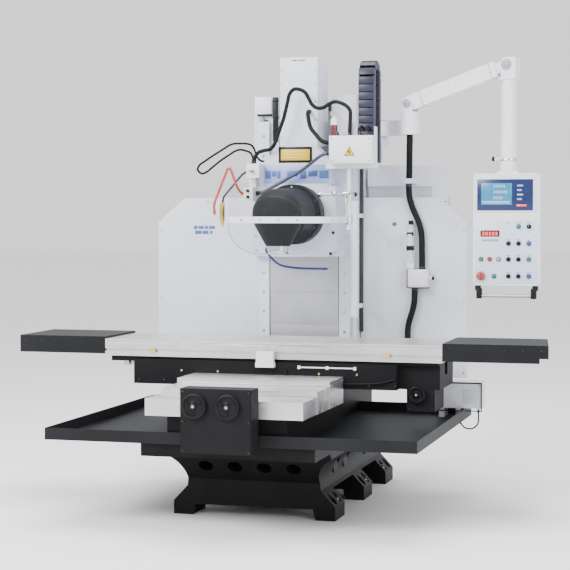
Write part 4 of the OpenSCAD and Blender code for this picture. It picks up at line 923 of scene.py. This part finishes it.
for name, x, y, z, r in (("handwheel_left", -108, -1456, 696, 67), ("handwheel_right", 72, -1456, 696, 67),
                         ("side_handwheel", 850, -401, 672, 50)):
    wheel = Part().use(DARK_STEEL)
    wheel.lathe((x, y - 34, z), (0, -1, 0), [(r * 0.2, -3), (r * 0.2, 0.5), (r * 0.16, 2), (0, 2)], 28)
    wheel.use(STEEL)
    wheel.socket_screw((x, y - 35.5, z), (0, -1, 0), r * 0.09, 3)
    wheel.use(PHENOLIC)
    for k in range(3):
        t = math.radians(30 + 120 * k)
        wheel.cyl((x + (r - 25) * math.cos(t), y - 26, z + (r - 25) * math.sin(t)), (0, -1, 0), 4, r * 0.1)
    wheel.done(name + "_hub", name, "wheel_black")

# ---- fixed panels, cabinet, column ----
panels = Part().use(STEEL)
for s in (-1, 1):
    for x, z in ((345, 720), (345, 1150), (345, 1600), (970, 720), (970, 1150), (970, 1580),
                 (660, 720), (660, 1760)):
        panels.socket_screw((s * x, 435, z), (0, -1, 0), 5.5, 4)
panels.use(WHITE)
for s in (-1, 1):
    lo_x, hi_x = sorted((s * 372, s * 950))
    panels.box((lo_x, hi_x), (433.6, 435.4), (744, 748), 0.6)
panels.use(MARK)
for k, w in enumerate((26, 34, 22, 40)):
    x = -752 + sum((26, 34, 22, 40)[:k]) + 6 * k
    panels.box((x, x + w), (433.4, 435.4), (1588, 1608), 0.5)
for k, w in enumerate((44, 40, 16)):
    panels.box((-744 + k * 50, -744 + k * 50 + w), (433.4, 435.4), (1556, 1578), 0.5)
panels.use(FACE).box((498, 596), (433.2, 435.4), (1485, 1560), 0.6)
panels.use(TEAL).lathe((542, 435, 1621), (0, -1, 0), [(13, 0), (13, 3), (10, 5), (0, 5.5)], 28)
panels.done("panel_fixings", "root", "machine_white")

cab = Part().use(WHITE)
cab.box((348, 749), (543, 1182), (1852, 1860), 2)
cab.box((346, 751), (541, 1184), (1972, 1985), 3)
cab.use(DARK_STEEL)
for k in range(12):
    cab.box((747, 749), (640, 1090), (1560 + k * 18, 1566 + k * 18), 0.8)
cab.use(BLACK)
cab.box((747, 753), (1140, 1160), (1180, 1260), 2)
cab.use(GREY)
cab.box((480, 620), (572, 576), (1200, 1500), 2)
cab.done("cabinet_trim", "root", "machine_white")
door = Part().use(WHITE)
door.box((372, 724), (1203, 1207), (760, 1920), 3)
door.use(DARK_STEEL)
for k in range(10):
    door.box((430, 660), (1206, 1209), (1660 + k * 20, 1667 + k * 20), 0.8)
    door.box((430, 660), (1206, 1209), (820 + k * 20, 827 + k * 20), 0.8)
door.use(BLACK).box((374, 390), (1220, 1236), (1286, 1394), 4)
door.done("cabinet_door_trim", "cabinet_door", "machine_white")

col = Part().use(STEEL)
for s in (-1, 1):
    for z in range(960, 2221, 120):
        col.socket_screw((s * 256, 325, z), (0, -1, 0), 8, 6)
col.use(BLACK)
col.box((-300, -206), (322, 336), (2284, 2296), 2)
col.use(ARM_WHITE).box((-317, -209), (325, 336), (2297, 2403), 3)
col.use(GREY).box((-288, -262), (328, 336), (2244, 2283), 2)
col.use(DARK_STEEL)
col.box((-256, -236), (326, 336), (2250, 2264), 2)
col.use(WHITE)
for s in (-1, 1):
    lo_x, hi_x = sorted((s * 324, s * 329))
    for z in (980, 1380, 1780):
        col.box((lo_x, hi_x), (500, 720), (z, z + 180), 4)
col.done("column_fittings", "root", "machine_white")

duct = Part().use(BLACK)
duct.box((-204, -170), (334, 347), (2128, 2402), 5)
for z in (2270, 2370):
    duct.box((-205, -167), (332.5, 347), (z, z + 16), 3)
duct.done("motor_cable_duct", "root", "rubber_black")

# guideway strip on the column's right post; its dark motor-grey tone is painted shade standing for the
# shadowed gap between the column cover and the post
strip = Part().use(MOTOR)
strip.box((327, 349), (420, 434), (960, 1985), 1)
strip.use(DARK_STEEL)
for k in range(8):
    strip.socket_screw((338, 420, 1020 + k * 130), (0, -1, 0), 5, 3)
strip.done("guideway_shade_strip", "root", "motor_grey")

# ---- air unit, lubrication unit, bed ----
air = Part().use(BOWL)
for z0, z1, r in ((1480, 1552, 21), (1400, 1468, 18)):
    air.lathe((650, 382, z0), "z",
              [(r * 0.5, -2), (r, 6), (r + 0.4, 10), (r + 0.4, z1 - z0), (r * 0.9, z1 - z0)], 32)
air.use(BLACK)
air.lathe((650, 405, 1617), "z", [(13, 0), (15, 3), (15, 22), (12, 26), (0, 26)], 24)
air.box((630, 670), (366, 402), (1549, 1572), 4)
air.lathe((650, 382, 1462), "z", [(19, 0), (24, 2), (24, 24), (21, 28)], 32)
air.box((632, 637), (366, 436), (1236, 1348), 1.5)
air.box((634, 762), (366, 436), (1232, 1239), 1.5)
air.use(ARM_WHITE).box((640, 756), (366, 371), (1244, 1340), 2)
air.use(STEEL)
for x in (648, 748):
    for z in (1252, 1332):
        air.socket_screw((x, 366, z), (0, -1, 0), 4, 3)
air.use(GREY).lathe((650, 395, 1585), (0, -1, 0), [(20, -4), (20, 8), (18, 10), (0, 10)], 32)
air.use(WHITE).lathe((650, 385, 1585), (0, -1, 0), [(16, 0), (16, 0.6), (0, 0.6)], 32)
air.use(RED)
air.box((649, 651), (383.6, 384.4), (1585, 1598), 0.2)
air.use(BLACK)
air.lathe((782, 400, 1293), "x", [(6, 0), (11, 0), (11, 10), (6, 14), (0, 14)], 20)
air.done("air_unit_fittings", "root", "arm_white")

tank = Part().use(BOWL)
tank.box((1006, 1096), (211, 216), (556, 640), 3)
tank.use(BLACK)
tank.lathe((900, 300, 703), "z", [(24, 0), (24, 10), (20, 14), (0, 14)], 28)
for x in ((846, 852), (1114, 1120)):
    tank.box(x, (207, 214), (512, 680), 1)
for z in ((512, 518), (676, 685)):
    tank.box((846, 1120), (207, 214), z, 1)
tank.use(STEEL)
for x in (860, 1105):
    for z in (548, 668):
        tank.socket_screw((x, 215, z), (0, -1, 0), 4, 3)
tank.done("lube_unit_fittings", "root", "arm_white")

bed = Part().use(DARK_STEEL)
for row_y in (-600, 100, 600):
    for s in (-1, 1):
        bed.hexagon((s * 435, row_y, 82), "z", 14, 19)
        bed.cyl((s * 435, row_y, 96), "z", 18, 11.8)
bed.use(BED)
for s in (-1, 1):
    for y in (-440, -200, 330):
        bed.lathe((s * 384, y, 270), (s, 0, 0), [(45, -6), (52, -2), (54, 2), (50, 5), (45, 5)], 36)
bed.done("bed_fittings", "root", "bed_black")

# ---- stage and light ----
floor_mesh = bpy.data.meshes.new("floor")
floor_mesh.from_pydata([(-60, -60, 0), (60, -60, 0), (60, 60, 0), (-60, 60, 0)], [], [(0, 1, 2, 3)])
floor_mesh.materials.append(surface("pale_floor", (0.93, 0.93, 0.94), 0.7, mottle=0.01, mottle_scale=1,
                                    grain=30,
                                    strength=0.02))
floor = bpy.data.objects.new("floor", floor_mesh)
bpy.context.scene.collection.objects.link(floor)

world = bpy.data.worlds.new("studio")
bpy.context.scene.world = world
world.use_nodes = True
sky = world.node_tree
backdrop = sky.nodes["Background"]
backdrop.inputs["Color"].default_value = (0.97, 0.98, 1.0, 1)
backdrop.inputs["Strength"].default_value = 1.35


def area_light(name, place, target, size, power):
    data = bpy.data.lights.new(name, "AREA")
    data.shape = "RECTANGLE"
    data.size, data.size_y = size
    data.energy = power
    obj = bpy.data.objects.new(name, data)
    bpy.context.scene.collection.objects.link(obj)
    obj.location = place
    obj.rotation_euler = (Vector(target) - Vector(place)).to_track_quat("-Z", "Y").to_euler()


area_light("key", (-4.0, -6.5, 6.0), (0, 0, 1.2), (4, 3), 1000)
area_light("fill", (6.0, -5.0, 3.5), (0.3, 0, 1.3), (3, 4), 300)
area_light("top", (0, 0.5, 7.5), (0, 0, 1), (5, 5), 520)
